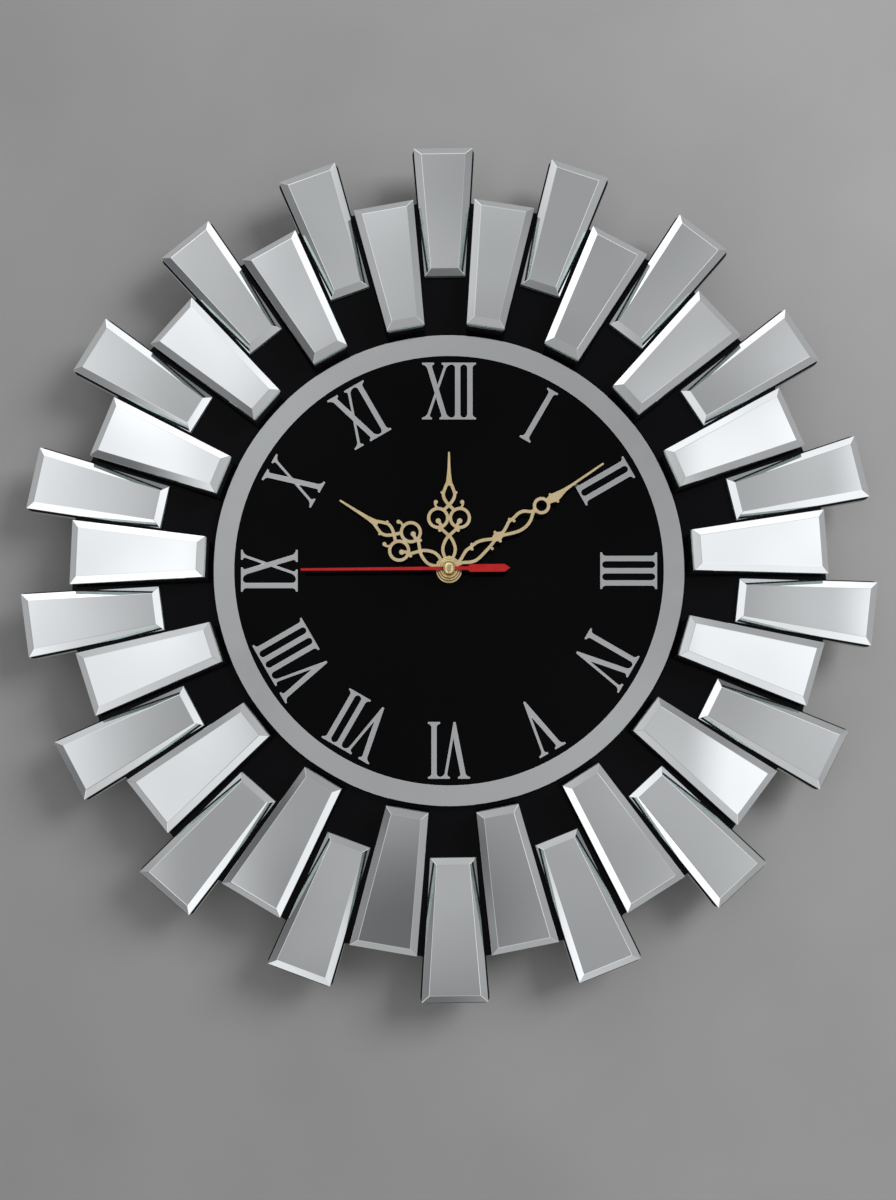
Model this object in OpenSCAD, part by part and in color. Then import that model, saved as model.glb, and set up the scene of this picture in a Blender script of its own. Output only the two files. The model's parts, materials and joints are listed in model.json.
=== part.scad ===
// Sunburst mirror wall clock with a four-hand quartz alarm movement.
// Pieces are drawn with x to the right, y up and z out of the wall towards the viewer.
// facing() turns that into the part frame: +Z up, the dial towards -Y, and the origin
// on the hand axis at the wall. Clock angles run clockwise from twelve.

/* [Mirror tiles] */
// Tiles in each of the two rows
tile_pairs = 18; // [14:1:18]
// Length of an outer tile
outer_tile_len = 79.4; // [60:0.1:90]
// Width of an outer tile at its inner end
outer_tile_in_w = 25.3; // [18:0.1:26.5]
// Width of an outer tile at its outer end
outer_tile_out_w = 36.6; // [28:0.1:38]
// Length of an inner tile
inner_tile_len = 79; // [60:0.1:90]
// Width of an inner tile at its inner end
inner_tile_in_w = 23.3; // [18:0.1:24.5]
// Width of an inner tile at its outer end
inner_tile_out_w = 37.2; // [28:0.1:38.5]
// Degrees by which the side tiles crowd towards twelve, with tiles sized to suit
tile_drift = 3.5; // [0:0.1:4]
// Degrees by which the whole tile ring is turned
tile_turn = -0.8; // [-2:0.1:2]
// Thickness of the mirror glass
mirror_t = 4; // [3:0.1:6]
// Height of the upright glass edge under the bevel
mirror_edge = 2.3; // [1.5:0.1:2.9]
// Width of the bevel
bevel_w = 4.1; // [2:0.1:7]
// Angle at which the inner tiles lean outwards
inner_lean = 5; // [0:0.1:6]
// Height of a riser at the inner end of an inner tile
riser_h = 11.7; // [9:0.1:14]
// How far a riser stays inside the outline of its tile
riser_inset = 0.8; // [0.4:0.1:3]

/* [Back board] */
// Thickness of the board
board_t = 6; // [4:0.1:12]
// Board showing round the tiles
board_margin = 1; // [0.4:0.1:2]
// Corner radius of the board's arms
arm_corner_r = 3.2; // [1:0.1:6]

/* [Dial] */
// Radius of the black dial glass
dial_r = 137.8; // [125:0.1:160]
// Thickness of the dial glass
dial_t = 3; // [2:0.1:6]
// Gap from the dial's edge to the inner tiles
dial_gap = 2; // [1:0.1:5]
// Black board from the dial's edge to the outer tiles
outer_row_gap = 31.4; // [26:0.1:45]
// Edge of the dial glass that shows outside the silver ring
dial_rim = 1; // [0.4:0.1:3]
// Width of the silver ring
ring_w = 12.1; // [6:0.1:18]
// Thickness of the silver ring and the numerals
trim_t = 0.8; // [0.4:0.1:1.2]
// Height of the numerals
numeral_h = 33.1; // [20:0.1:36]
// Gap from the numerals to the silver ring
numeral_gap = 3.8; // [1:0.1:10]
// Width of a thick stroke
stem_w = 3.2; // [2:0.1:4]
// Width of a thin stroke
hair_w = 1.7; // [1:0.1:3]
// Thickness of a serif
serif_t = 1.2; // [0.6:0.1:2]
// Width of the numeral I over its serifs
i_w = 7.1; // [5:0.1:9]
// Width of the numeral V
v_w = 17.4; // [12:0.1:18]
// Width of the foot of the numeral V
v_foot_w = 1.3; // [0.6:0.1:2]
// Width of the numeral X
x_w = 17.2; // [12:0.1:18]

/* [Hands] */
// Thickness of a stamped hand
hand_t = 0.7; // [0.4:0.1:1]
// Width of the strips of a pierced hand
strip_w = 1.85; // [1.4:0.05:2.1]
// Rise from one hand to the next
hand_rise = 2.1; // [1.2:0.1:3]
// Length of the alarm hand
alarm_hand_len = 68.4; // [56:0.1:80]
// Length of the hour hand
hour_hand_len = 74.6; // [56:0.1:90]
// Length of the minute hand
minute_hand_len = 107.6; // [90:0.1:118]
// Length of the second hand
second_hand_len = 84.9; // [60:0.1:118]
// Length of the second hand's tail
second_tail_len = 35; // [20:0.1:45]
// Width of the second hand's paddle
paddle_w = 4.4; // [2:0.1:8]
// Hub radius of the alarm hand
alarm_hub_r = 7.5; // [6:0.1:9]
// Hub radius of the hour hand
hour_hub_r = 6.3; // [5:0.1:9]
// Hub radius of the minute hand
minute_hub_r = 5.1; // [3:0.1:8]
// Radius of the cap on the second hand
cap_r = 3.4; // [2:0.1:5]
// Height of the cap
cap_h = 2.3; // [1:0.1:4]
// Clock angle of the alarm hand
alarm_angle = 0; // [0:0.1:360]
// Clock angle of the hour hand
hour_angle = 302.3; // [0:0.1:360]
// Clock angle of the minute hand
minute_angle = 55.7; // [0:0.1:360]
// Clock angle of the second hand
second_angle = 269.5; // [0:0.1:360]

/* [Arbor and pipes] */
// Radius of the second hand's arbor
arbor_r = 0.5; // [0.4:0.05:0.7]
// Wall of each hand pipe
pipe_wall = 0.9; // [0.7:0.05:1.1]
// Radial running fit of turning pieces
running_fit = 0.05; // [0.02:0.01:0.08]
// Radial gap of pieces pushed onto each other
push_gap = 0.02; // [0.01:0.01:0.04]
// Wall of the threaded bush
bush_wall = 1.7; // [1.4:0.1:3]
// Gap from the bush to the board and dial
bush_gap = 0.25; // [0.1:0.05:1]
// Size of the fixing nut across its flats
nut_flats = 12; // [11.5:0.1:14]
// Height of the fixing nut
nut_h = 2.2; // [1:0.1:4]
// Thickness of the metal washer
washer_t = 0.5; // [0.3:0.1:1.5]
// Radius of the metal washer
washer_r = 7.4; // [6.5:0.1:10]
// Thickness of the rubber washer
rubber_t = 1; // [0.5:0.1:3]
// Radius of the rubber washer
rubber_r = 9; // [7:0.1:14]

/* [Movement case] */
// Room at the ends of the battery for its contacts
battery_room = 3.1; // [2.6:0.1:5]
// Gap round the battery in its bay
bay_fit = 0.3; // [0.1:0.05:1]
// Height of the case above the hand axis
case_top = 28; // [26:0.1:36]
// Room between the alarm wheel and the case's front wall
train_room = 1.5; // [1.3:0.1:4]
// Thickness of the case walls
case_wall = 1.2; // [0.8:0.1:1.4]
// Corner radius of the case
case_corner_r = 3; // [1:0.1:5]
// Thickness of the rear cover
cover_t = 1.2; // [0.8:0.1:1.6]
// Top of the battery bay, below the hand axis
bay_drop = 10.8; // [10.6:0.1:11.2]
// Radius of the posts that carry the gear plate
post_r = 2; // [1.6:0.1:2.4]
// Distance from the posts to the case's inner walls
post_gap = 3.5; // [3:0.1:4.5]
// Radius of the plate screws
plate_screw_r = 0.8; // [0.5:0.1:1]
// Length of a plate screw under its head
plate_screw_len = 7.6; // [5:0.1:9]
// Gap round the plate screws
screw_gap = 0.1; // [0.05:0.05:0.3]

/* [Gear train] */
// Gap from the knob wells to the gear plate
plate_gap = 0.4; // [0.2:0.1:1]
// Thickness of the gear plate
plate_t = 1; // [0.6:0.1:1.2]
// Thickness of a wheel
wheel_t = 0.8; // [0.5:0.1:1]
// Rise from one wheel to the next
wheel_rise = 1.6; // [1.4:0.05:1.7]
// Distance from the hand axis to the step wheel and the third wheel
train_reach = 9; // [8.6:0.1:9.4]
// Distance from the hand axis to the two setting arbors
setting_reach = 10.5; // [10.4:0.1:11]
// Distance from the step wheel to the rotor
rotor_reach = 7; // [6.6:0.1:7.4]
// Radius of the posts that the wheels turn on
pivot_r = 0.4; // [0.3:0.05:0.5]
// Radius of the shoulder under each wheel
shoulder_r = 0.8; // [0.6:0.05:0.9]
// End play of a wheel
end_play = 0.1; // [0.05:0.05:0.2]
// Radius of the setting arbors
setting_r = 0.8; // [0.6:0.05:0.9]
// Radius of a setting knob
knob_r = 4.1; // [3:0.1:4.2]
// Height of a setting knob
knob_h = 2.2; // [1.5:0.1:2.4]
// Depth of a knob behind the wall plane
knob_sink = 0.4; // [0.2:0.1:0.6]
// Gap round a knob in its well
well_gap = 0.5; // [0.3:0.1:0.6]
// Wall of a knob well
well_wall = 0.6; // [0.4:0.05:0.6]

/* [Motor and electrics] */
// Radius of the rotor magnet
magnet_r = 3; // [2:0.1:3.4]
// Air gap from the rotor magnet to the stator
air_gap = 0.4; // [0.2:0.1:0.8]
// Thickness of the stator
stator_t = 1; // [0.6:0.1:1.4]
// Radius of the coil
coil_r = 2.3; // [1.8:0.1:2.4]
// Length of the coil
coil_len = 13; // [8:0.1:13.5]
// Thickness of the circuit board
circuit_t = 0.8; // [0.5:0.1:1.6]
// Radius of the quartz crystal's can
crystal_r = 1; // [0.7:0.1:1.5]
// Radius of the buzzer
buzzer_r = 5.5; // [4:0.1:6]
// Thickness of the buzzer
buzzer_t = 1; // [0.5:0.1:1.4]
// Radius of the battery
battery_r = 7.1; // [6:0.05:7.25]
// Length of the battery with its button
battery_len = 50.5; // [44:0.1:50.6]
// Thickness of the contact strips
contact_t = 0.4; // [0.2:0.05:0.5]
// Gap from the battery to its contacts
contact_gap = 0.1; // [0.05:0.05:0.2]
// Travel of the alarm switch
switch_travel = 3; // [2:0.1:4]

/* [Hanger and spacers] */
// Height of the hanger hole above the hand axis
hanger_y = 112; // [90:0.5:118]
// Radius of the hanger hole
hanger_hole_r = 4.5; // [3.5:0.1:6]
// Width of the slot above the hanger hole
hanger_slot_w = 4.4; // [3:0.1:5]
// Length of the slot above the hanger hole
hanger_slot_len = 8.5; // [6:0.1:12]
// Thickness of the hanger plate
hanger_t = 1.2; // [0.8:0.1:2]
// Width of the hanger plate
hanger_w = 46; // [36:0.5:70]
// Height of the hanger plate
hanger_h = 26; // [24:0.5:40]
// Rim of the wooden block round the hanger plate
block_rim = 3; // [1:0.1:8]
// Depth of the block's pocket behind the hanger plate
pocket_d = 9; // [4:0.1:14]
// Radius of the hanger screws
hanger_screw_r = 1.5; // [1:0.1:2]
// Length of the hanger screws
hanger_screw_len = 14; // [8:0.5:18]
// Distance of the wall spacers from the hand axis
spacer_reach = 140; // [110:1:145]
// Radius of the wall spacers
spacer_r = 10; // [6:0.1:16]
// Thickness of the felt pads on the wall spacers
pad_t = 1.5; // [0.5:0.1:4]

/* [Hidden] */
$fn = 64;

// Levels of the knob wells, the gear plate and the wheels
well_floor_z = knob_sink + knob_h + 0.4;
well_floor_t = 0.8;
plate_z = well_floor_z + well_floor_t + plate_gap;
plate_top = plate_z + plate_t;
function wheel_z(level) = plate_top + 0.4 + level * wheel_rise;

// Levels from the case outwards
case_in_z = wheel_z(6) + wheel_t + train_room;
case_d = case_in_z + case_wall;
board_z = case_d + rubber_t;
board_front = board_z + board_t;
dial_front = board_front + dial_t;
washer_front = dial_front + washer_t;
nut_front = washer_front + nut_h;
bush_top = nut_front + 0.3;
alarm_hand_z = bush_top + 0.5;
hour_hand_z = alarm_hand_z + hand_rise;
minute_hand_z = hour_hand_z + hand_rise;
second_hand_z = minute_hand_z + hand_rise;
// Length by which a pipe stands proud of its hand
pipe_proud = 0.2;

// Radii of the coaxial pipes, from the arbor outwards
minute_bore = arbor_r + running_fit;
minute_pipe_r = minute_bore + pipe_wall;
hour_bore = minute_pipe_r + running_fit;
hour_pipe_r = hour_bore + pipe_wall;
alarm_bore = hour_pipe_r + running_fit;
alarm_pipe_r = alarm_bore + pipe_wall;
bush_bore = alarm_pipe_r + running_fit;
bush_r = bush_bore + bush_wall;

// Radii of the silver ring
ring_out_r = dial_r - dial_rim;
ring_in_r = ring_out_r - ring_w;

// Rows of tiles
pair_angle = 360 / tile_pairs;
inner_row_r = dial_r + dial_gap;
outer_row_r = dial_r + outer_row_gap + outer_tile_len / 2;
drift_share = tile_drift * PI / 180;

function tile_angle(t) = t - tile_drift * sin(t) + tile_turn;
function tile_scale(t) = 1 - drift_share * cos(t);
function outer_mark(i) = i * pair_angle;
function inner_mark(i) = (i + 0.5) * pair_angle;
function inner_run(t) = inner_tile_len * tile_scale(t) * cos(inner_lean);
function inner_drop(t) = inner_tile_len * tile_scale(t) * sin(inner_lean);
function outer_start(t) = outer_row_r - outer_tile_len * tile_scale(t) / 2;

// A point at distance u along clock angle a and v to its clockwise side
function at_clock(a, u, v = 0) = [u * sin(a) + v * cos(a), u * cos(a) - v * sin(a)];

// Train: tooth counts
rotor_teeth = 8;
step_teeth = 48;
step_pinion_teeth = 10;
seconds_teeth = 50;
seconds_pinion_teeth = 8;
third_teeth = 60;
third_pinion_teeth = 8;
centre_teeth = 64;
minute_pinion_teeth = 12;
motion_teeth = 36;
motion_pinion_teeth = 10;
hour_teeth = 40;
alarm_teeth = 40;
alarm_pinion_teeth = 10;

// Train: directions of the arbors, anticlockwise from the right
step_dir = 75;
third_dir = 150;
motion_dir = 30;
alarm_dir = -30;
rotor_dir = 60;

function toward(a, reach) = reach * [cos(a), sin(a)];
step_at = toward(step_dir, train_reach);
third_at = toward(third_dir, train_reach);
motion_at = toward(motion_dir, setting_reach);
alarm_at = toward(alarm_dir, setting_reach);
rotor_at = step_at + toward(rotor_dir, rotor_reach);

// Train: levels of the motor
magnet_z = wheel_z(0) + wheel_t + 0.4;
magnet_h = 1.6;
stator_z = magnet_z + (magnet_h - stator_t) / 2;

// Case: inside sizes and shared places
case_w = battery_len + battery_room + 2 * case_wall;
case_in = case_w / 2 - case_wall;
case_in_top = case_top - case_wall;
bay_top = -bay_drop - case_wall;
case_in_low = bay_top - 2 * (battery_r + bay_fit);
case_low = case_in_low - case_wall;
post_x = case_in - post_gap;
post_top_y = case_in_top - post_gap;
post_low_y = -bay_drop + post_gap;
post_places = [
    [post_x, post_top_y], [-post_x, post_top_y], [post_x, post_low_y], [-post_x, post_low_y]
];
battery_y = (bay_top + case_in_low) / 2;
battery_z = case_in_z - bay_fit - battery_r;
button_len = 1.1;
button_r = 2.7;
battery_end = case_in - contact_t - contact_gap;
well_r = knob_r + well_gap;
knob_z = knob_sink;
setting_end = case_in_z + 0.7;

// Motor and electrics: shared places
stator_x0 = rotor_at[0] - magnet_r - 4.3;
stator_x1 = rotor_at[0] + magnet_r + 9.7;
stator_y0 = rotor_at[1] - magnet_r - air_gap - 0.2;
stator_y1 = rotor_at[1] + magnet_r + air_gap + 0.3;
leg_w = 3;
core_w = 2;
coil_y = stator_y1 + 0.7 + coil_r;
coil_x = (stator_x0 + stator_x1) / 2;
coil_z = stator_z + stator_t / 2;
stator_post_r = 1.2;
circuit_w = 16;
circuit_h = 9.6;
circuit_x = circuit_w / 2 + post_r + 0.9 - post_x;
circuit_y = case_in_top - 2.6 - circuit_h / 2;
buzzer_at = [9.8 - case_in, -1.5];

// Alarm switch: slider in a slot of the right wall
switch_y = 12;
switch_z = 9.5;
switch_tab = [2.8, 4, 2.6];
switch_flange = [0.9, 8, 5];
switch_slip = 0.1;
rail_t = 0.8;

// Hanger: shared places
hanger_screw_x = hanger_w / 2 - 6;
hanger_low = hanger_y - hanger_hole_r - 5;
hanger_mid = hanger_low + hanger_h / 2;
screw_head_r = 2 * hanger_screw_r;

module facing() {
    rotate([90, 0, 0]) children();
}

// Lays children drawn along +y out at a clock angle
module at_angle(a) {
    rotate([0, 0, -a]) children();
}

module disc(r, h, z = 0, at = [0, 0]) {
    translate([at[0], at[1], z]) cylinder(r = r, h = h);
}

module tube(outer, bore, h, z = 0, at = [0, 0]) {
    translate([at[0], at[1], z]) difference() {
        cylinder(r = outer, h = h);
        translate([0, 0, -1]) cylinder(r = bore, h = h + 2);
    }
}

// A box from one corner to the opposite one
module box(low, high) {
    translate(low) cube(high - low);
}

module rounded_square(w, h, r) {
    union() {
        square([w - 2 * r, h], center = true);
        square([w, h - 2 * r], center = true);
        for (x = [-1, 1], y = [-1, 1]) {
            translate([x * (w / 2 - r), y * (h / 2 - r)]) circle(r);
        }
    }
}

// Mirror tiles

// Corners of a tile along +y: u from its inner end, taken in by an inset on every side
function tile_corners(len, w_in, w_out, inset, z) =
    let (slope = (w_out - w_in) / 2 / len)
    let (side = inset * sqrt(1 + slope * slope))
    let (low = w_in / 2 + slope * inset - side)
    let (high = w_out / 2 - slope * inset - side)
    [[-low, inset, z], [low, inset, z], [high, len - inset, z], [-high, len - inset, z]];

tile_faces = [
    [0, 1, 2, 3],
    for (i = [0:3]) [i, i + 4, (i + 1) % 4 + 4, (i + 1) % 4],
    for (i = [0:3]) [i + 4, i + 8, (i + 1) % 4 + 8, (i + 1) % 4 + 4],
    [11, 10, 9, 8]
];

module bevelled_tile(len, w_in, w_out) {
    polyhedron(
        points = concat(
            tile_corners(len, w_in, w_out, 0, 0),
            tile_corners(len, w_in, w_out, 0, mirror_edge),
            tile_corners(len, w_in, w_out, bevel_w, mirror_t)
        ),
        faces = tile_faces
    );
}

module outer_mirrors() {
    color("#c9ced2") facing() for (i = [0:tile_pairs - 1]) {
        t = outer_mark(i);
        f = tile_scale(t);
        at_angle(tile_angle(t)) translate([0, outer_start(t), board_front])
            bevelled_tile(f * outer_tile_len, f * outer_tile_in_w, f * outer_tile_out_w);
    }
}

module inner_mirrors() {
    color("#e6eaec") facing() for (i = [0:tile_pairs - 1]) {
        t = inner_mark(i);
        f = tile_scale(t);
        at_angle(tile_angle(t)) translate([0, inner_row_r, board_front + riser_h])
            rotate([-inner_lean, 0, 0])
            bevelled_tile(f * inner_tile_len, f * inner_tile_in_w, f * inner_tile_out_w);
    }
}

riser_faces = [
    [0, 1, 2, 3],
    for (i = [0:3]) [i, i + 4, (i + 1) % 4 + 4, (i + 1) % 4],
    [7, 6, 5, 4]
];

// A wedge under an inner tile, with its sloping top against the tile
module riser(t) {
    f = tile_scale(t);
    foot = tile_corners(inner_run(t), f * inner_tile_in_w, f * inner_tile_out_w, riser_inset, 0);
    top = [for (p = foot) [p[0], p[1], riser_h - p[1] * tan(inner_lean)]];
    polyhedron(points = concat(foot, top), faces = riser_faces);
}

module mirror_risers() {
    color("#15161a") facing() for (i = [0:tile_pairs - 1]) {
        t = inner_mark(i);
        at_angle(tile_angle(t)) translate([0, inner_row_r, board_front]) riser(t);
    }
}

// Back board

// Half width of an outer arm at distance u from the hand axis
function arm_slope(t) = (outer_tile_out_w - outer_tile_in_w) / 2 / outer_tile_len;
function arm_half(t, u) =
    tile_scale(t) * outer_tile_in_w / 2 + arm_slope(t) * (u - outer_start(t)) + board_margin;

// Where the side of the arm at t meets the end of the inner arm at t + step
function notch(t, step) =
    let (turn = abs(tile_angle(t + step) - tile_angle(t)))
    let (reach = inner_row_r + inner_run(t + step) + board_margin)
    let (base = arm_half(t, 0))
    let (u = (reach - base * sin(turn)) / (cos(turn) + arm_slope(t) * sin(turn)))
    at_clock(tile_angle(t), u, sign(step) * arm_half(t, u));

// The rounded outer corner of the arm at t on one side, as an arc of a few points
function arm_corner(t, side) =
    let (end = outer_start(t) + tile_scale(t) * outer_tile_len + board_margin)
    let (u = end - arm_corner_r, v = arm_half(t, u) - arm_corner_r)
    [for (k = [0:4])
        let (a = side < 0 ? 90 - k * 22.5 : k * 22.5)
        at_clock(tile_angle(t), u + arm_corner_r * cos(a), side * (v + arm_corner_r * sin(a)))];

board_outline = [
    for (i = [0:tile_pairs - 1])
        let (t = outer_mark(i))
        each concat(
            [notch(t, -pair_angle / 2)], arm_corner(t, -1), arm_corner(t, 1),
            [notch(t, pair_angle / 2)]
        )
];

module back_board() {
    color("#101114") facing() translate([0, 0, board_z]) difference() {
        linear_extrude(board_t) polygon(board_outline);
        disc(bush_r + bush_gap, board_t + 2, -1);
    }
}

// Dial

module dial_glass() {
    color("#0b0c0e") facing() tube(dial_r, bush_r + bush_gap, dial_t, board_front);
}

module dial_ring() {
    color("#a6abb0") facing() tube(ring_out_r, ring_in_r, trim_t, dial_front);
}

// A rounded corner of reach r between two edges that leave the point p along a and b
module bracket(p, a, b, r) {
    polygon(concat(
        [p - 0.2 * (a + b)],
        [for (q = [0:15:90]) p + r * ((1 - sin(q)) * a + (1 - cos(q)) * b)]
    ));
}

// A serif at one end of a stroke from x0 to x1, with a bracket on each side
module serif(x0, x1, w, wide, top) {
    lean = (x1 - x0) / numeral_h;
    end_x = top ? x1 : x0;
    y = top ? numeral_h - serif_t : serif_t;
    edge_x = x0 + lean * y;
    translate([end_x - wide / 2, top ? y : 0]) square([wide, serif_t]);
    for (s = [-1, 1]) {
        corner = [edge_x + s * w / 2, y];
        reach = (wide - w) / 2 + s * (end_x - edge_x);
        if (top == (s < 0)) bracket(corner, [s, 0], s * [lean, 1], reach);
        else bracket(corner, -s * [lean, 1], [s, 0], reach);
    }
}

// A slanting stroke from x0 at the foot to x1 at the top, with a level width w
module stroke(x0, x1, w) {
    polygon([
        [x0 - w / 2, 0], [x0 + w / 2, 0], [x1 + w / 2, numeral_h], [x1 - w / 2, numeral_h]
    ]);
}

module letter_i() {
    stroke(0, 0, stem_w);
    serif(0, 0, stem_w, i_w + 0.1, false);
    serif(0, 0, stem_w, i_w + 0.1, true);
}

// Two strokes whose outer edges run down to a narrow foot
module letter_v() {
    thick_x = -v_w / 2 + i_w / 2;
    thin_x = v_w / 2 - i_w / 2 + 0.7;
    left_x = (thick_x + thin_x - v_foot_w) / 2;
    right_x = left_x + v_foot_w;
    thick_lean = (thick_x - stem_w / 2 - left_x) / numeral_h;
    thin_lean = (thin_x + hair_w / 2 - right_x) / numeral_h;
    crotch = (thin_x - thick_x - (hair_w + stem_w) / 2) / (thin_lean - thick_lean);
    polygon([
        [thick_x - stem_w / 2, numeral_h],
        [left_x, 0],
        [right_x, 0],
        [thin_x + hair_w / 2, numeral_h],
        [thin_x - hair_w / 2, numeral_h],
        [thick_x + stem_w / 2 - thick_lean * crotch, numeral_h - crotch],
        [thick_x + stem_w / 2, numeral_h]
    ]);
    serif(left_x + stem_w / 2, thick_x, stem_w, i_w, true);
    serif(right_x - hair_w / 2, thin_x, hair_w, i_w - 1.3, true);
}

module letter_x() {
    thick_x = x_w / 2 - i_w / 2;
    thin_x = thick_x + 0.65;
    stroke(thick_x, -thick_x, stem_w);
    stroke(-thin_x, thin_x, hair_w);
    for (top = [false, true]) {
        serif(thick_x, -thick_x, stem_w, i_w, top);
        serif(-thin_x, thin_x, hair_w, i_w - 1.2, top);
    }
}

numeral_words = [
    "I", "II", "III", "IV", "V", "VI", "VII", "VIII", "IX", "X", "XI", "XII"
];

function letter_w(c) = c == "I" ? i_w : c == "V" ? v_w : x_w;
function word_w(word, count) =
    count == 0 ? 0 : letter_w(word[count - 1]) + word_w(word, count - 1);

module letter(c) {
    if (c == "I") letter_i();
    if (c == "V") letter_v();
    if (c == "X") letter_x();
}

module numeral(hour) {
    word = numeral_words[hour - 1];
    color("#b4b8bc") facing() at_angle(hour * 30)
        translate([-word_w(word, len(word)) / 2, ring_in_r - numeral_gap - numeral_h, dial_front])
        linear_extrude(trim_t) union() {
            for (k = [0:len(word) - 1]) {
                translate([word_w(word, k) + letter_w(word[k]) / 2, 0]) letter(word[k]);
            }
        }
}

// Hands, drawn along +y from the pivot

// A smooth row of points through the given ones
function smooth_row(p) =
    let (n = len(p) - 1)
    [
        for (k = [0:n - 1]) for (q = [0:0.25:0.75])
            let (a = p[max(k - 1, 0)])
            let (d = p[min(k + 2, n)])
            p[k] + q / 2 * (
                p[k + 1] - a + q * (2 * a - 5 * p[k] + 4 * p[k + 1] - d)
                + q * q * (3 * p[k] - a - 3 * p[k + 1] + d)
            ),
        p[n]
    ];

// Outline of a strip of even width along a smooth row of points; side -1 mirrors it
function strip(p, half, side = 1) =
    let (row = smooth_row([for (q = p) [side * q[0], q[1]]]))
    let (n = len(row) - 1)
    let (off = [
        for (k = [0:n])
            let (d = row[min(k + 1, n)] - row[max(k - 1, 0)])
            half / norm(d) * [-d[1], d[0]]
    ])
    [for (k = [0:n]) row[k] + off[k], for (k = [n:-1:0]) row[k] - off[k]];

// A flat shape with the thickness of a hand
module flat(points) {
    linear_extrude(hand_t) polygon(points);
}

// The same shape as a cutter that passes through the hand
module slot(points) {
    translate([0, 0, -1]) linear_extrude(hand_t + 2) polygon(points);
}

module knob(x, y, r) {
    disc(r, hand_t, 0, [x, y]);
}

// The pierced hour and alarm hands: a leaf, two scrolls, a diamond and a needle
module fret(hub_r, tip) {
    scroll = [6.3, 30];
    neck_y = 50.2;
    mid_y = (neck_y + tip) / 2;
    leaf = [
        [1.2, 5.4], [2.5, 7.6], [3.4, 10], [3.6, 12.4], [2.8, 15.4], [1.2, 18.4],
        [-1.2, 20.8], [-3.4, 22.8], [-5.2, 24.6]
    ];
    stalk = [[6.2, 28.2], [5.3, 27], [4.7, 25.6], [4.8, 24.4]];
    cross = [
        [3.6, 34], [1.7, 35.8], [-0.7, 38.2], [-2.6, 40.9], [-3.3, 43.8], [-2.4, 46.8], [-1, neck_y]
    ];
    ear = [[5.6, 35], [7.4, 36.6], [8.2, 38.6]];
    union() {
        disc(hub_r, hand_t);
        flat([[-2.4, 4.6], [-2.4, 7.4], [0, 8.2], [2.4, 7.4], [2.4, 4.6]]);
        for (side = [-1, 1]) {
            flat(strip(leaf, strip_w / 2, side));
            flat(strip(stalk, strip_w / 2, side));
            flat(strip(cross, strip_w / 2, side));
            flat(strip(ear, 0.65, side));
            tube(6.4, 6.4 - strip_w, hand_t, 0, [side * scroll[0], scroll[1]]);
            knob(side * 6.2, 28.3, 1.5);
            knob(side * 7.6, 39.2, 1.2);
            knob(side * 5.3, 22.9, 1);
            knob(side * 4.1, 44.7, 0.8);
        }
        flat([
            [0, 48.4], [-1.8, neck_y], [-1.15, 55.5], [-0.85, mid_y], [-0.55, tip - 0.5], [0, tip],
            [0.55, tip - 0.5], [0.85, mid_y], [1.15, 55.5], [1.8, neck_y]
        ]);
    }
}

// The pierced minute hand: two open loops, a ring and a needle
module minute_fret(hub_r, tip) {
    first_left = [
        [0, 4], [-0.5, 8.2], [-2, 11.4], [-3.1, 14.2], [-3.2, 17], [-3.5, 20], [-3.3, 23],
        [-1.9, 26.8], [0, 30.4], [0.8, 33.6]
    ];
    first_right = [
        [0.6, 4], [1.5, 8.4], [3.3, 11.4], [4.6, 14.6], [4.6, 18], [3.9, 21.6], [3.1, 25.2],
        [2.1, 28.8], [0.9, 31.8], [0.4, 34]
    ];
    second_left = [
        [0.6, 34.4], [-0.1, 38], [-1.5, 41], [-2.9, 43.6], [-3.1, 46], [-3.4, 48.4], [-3.8, 51],
        [-3.2, 54], [-1.3, 56.4], [0.4, 58.6]
    ];
    second_right = [
        [1, 34.4], [2.2, 38.2], [3.8, 42.2], [4.9, 46.4], [4.8, 50.6], [3.4, 54.4], [1.4, 57], [0, 59]
    ];
    ring_y = 64.3;
    spurs = [
        [-1.9, 17.3, 0.9], [-4.3, 18.7, 0.8], [4.4, 27, 0.9], [-2.4, 33.6, 0.9], [3.4, 33.3, 0.9],
        [-1.7, 46.3, 0.9], [-4, 44.6, 0.8], [-2.5, 71.9, 0.8], [3.2, 73.4, 0.8]
    ];
    union() {
        disc(hub_r, hand_t);
        for (row = [first_left, first_right, second_left, second_right])
            flat(strip(row, strip_w / 2));
        for (s = spurs) knob(s[0], s[1], s[2]);
        flat([
            [-1.2, 30.8], [-2.4, 33.6], [-1, 36.4], [1.4, 37.2], [2.6, 35.4], [3.4, 33.2], [2, 31]
        ]);
        flat([[-1, 57], [1.2, 57], [1.4, ring_y - 4.2], [-1.4, ring_y - 4.2]]);
        tube(5, 5 - strip_w, hand_t, 0, [0, ring_y]);
        flat([
            [-1.6, ring_y + 4], [-2.6, 71.8], [-1.9, 75.4], [-1.1, 80], [-0.7, 86], [-0.55, tip - 0.5],
            [0, tip], [0.55, tip - 0.5], [0.7, 86], [1.2, 80.6], [2.4, 76.6], [3.2, 73.4],
            [2.2, 70.6], [1.6, ring_y + 4]
        ]);
    }
}

module on_pipe(z, pipe_r, angle) {
    facing() at_angle(angle) translate([0, 0, z]) difference() {
        union() children();
        disc(pipe_r + push_gap, hand_t + 2, -1);
    }
}

module alarm_hand() {
    color("#d9bf83") on_pipe(alarm_hand_z, alarm_pipe_r, alarm_angle)
        fret(alarm_hub_r, alarm_hand_len);
}

module hour_hand() {
    color("#d9bf83") on_pipe(hour_hand_z, hour_pipe_r, hour_angle)
        fret(hour_hub_r, hour_hand_len);
}

module minute_hand() {
    color("#d9bf83") on_pipe(minute_hand_z, minute_pipe_r, minute_angle)
        minute_fret(minute_hub_r, minute_hand_len);
}

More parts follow.
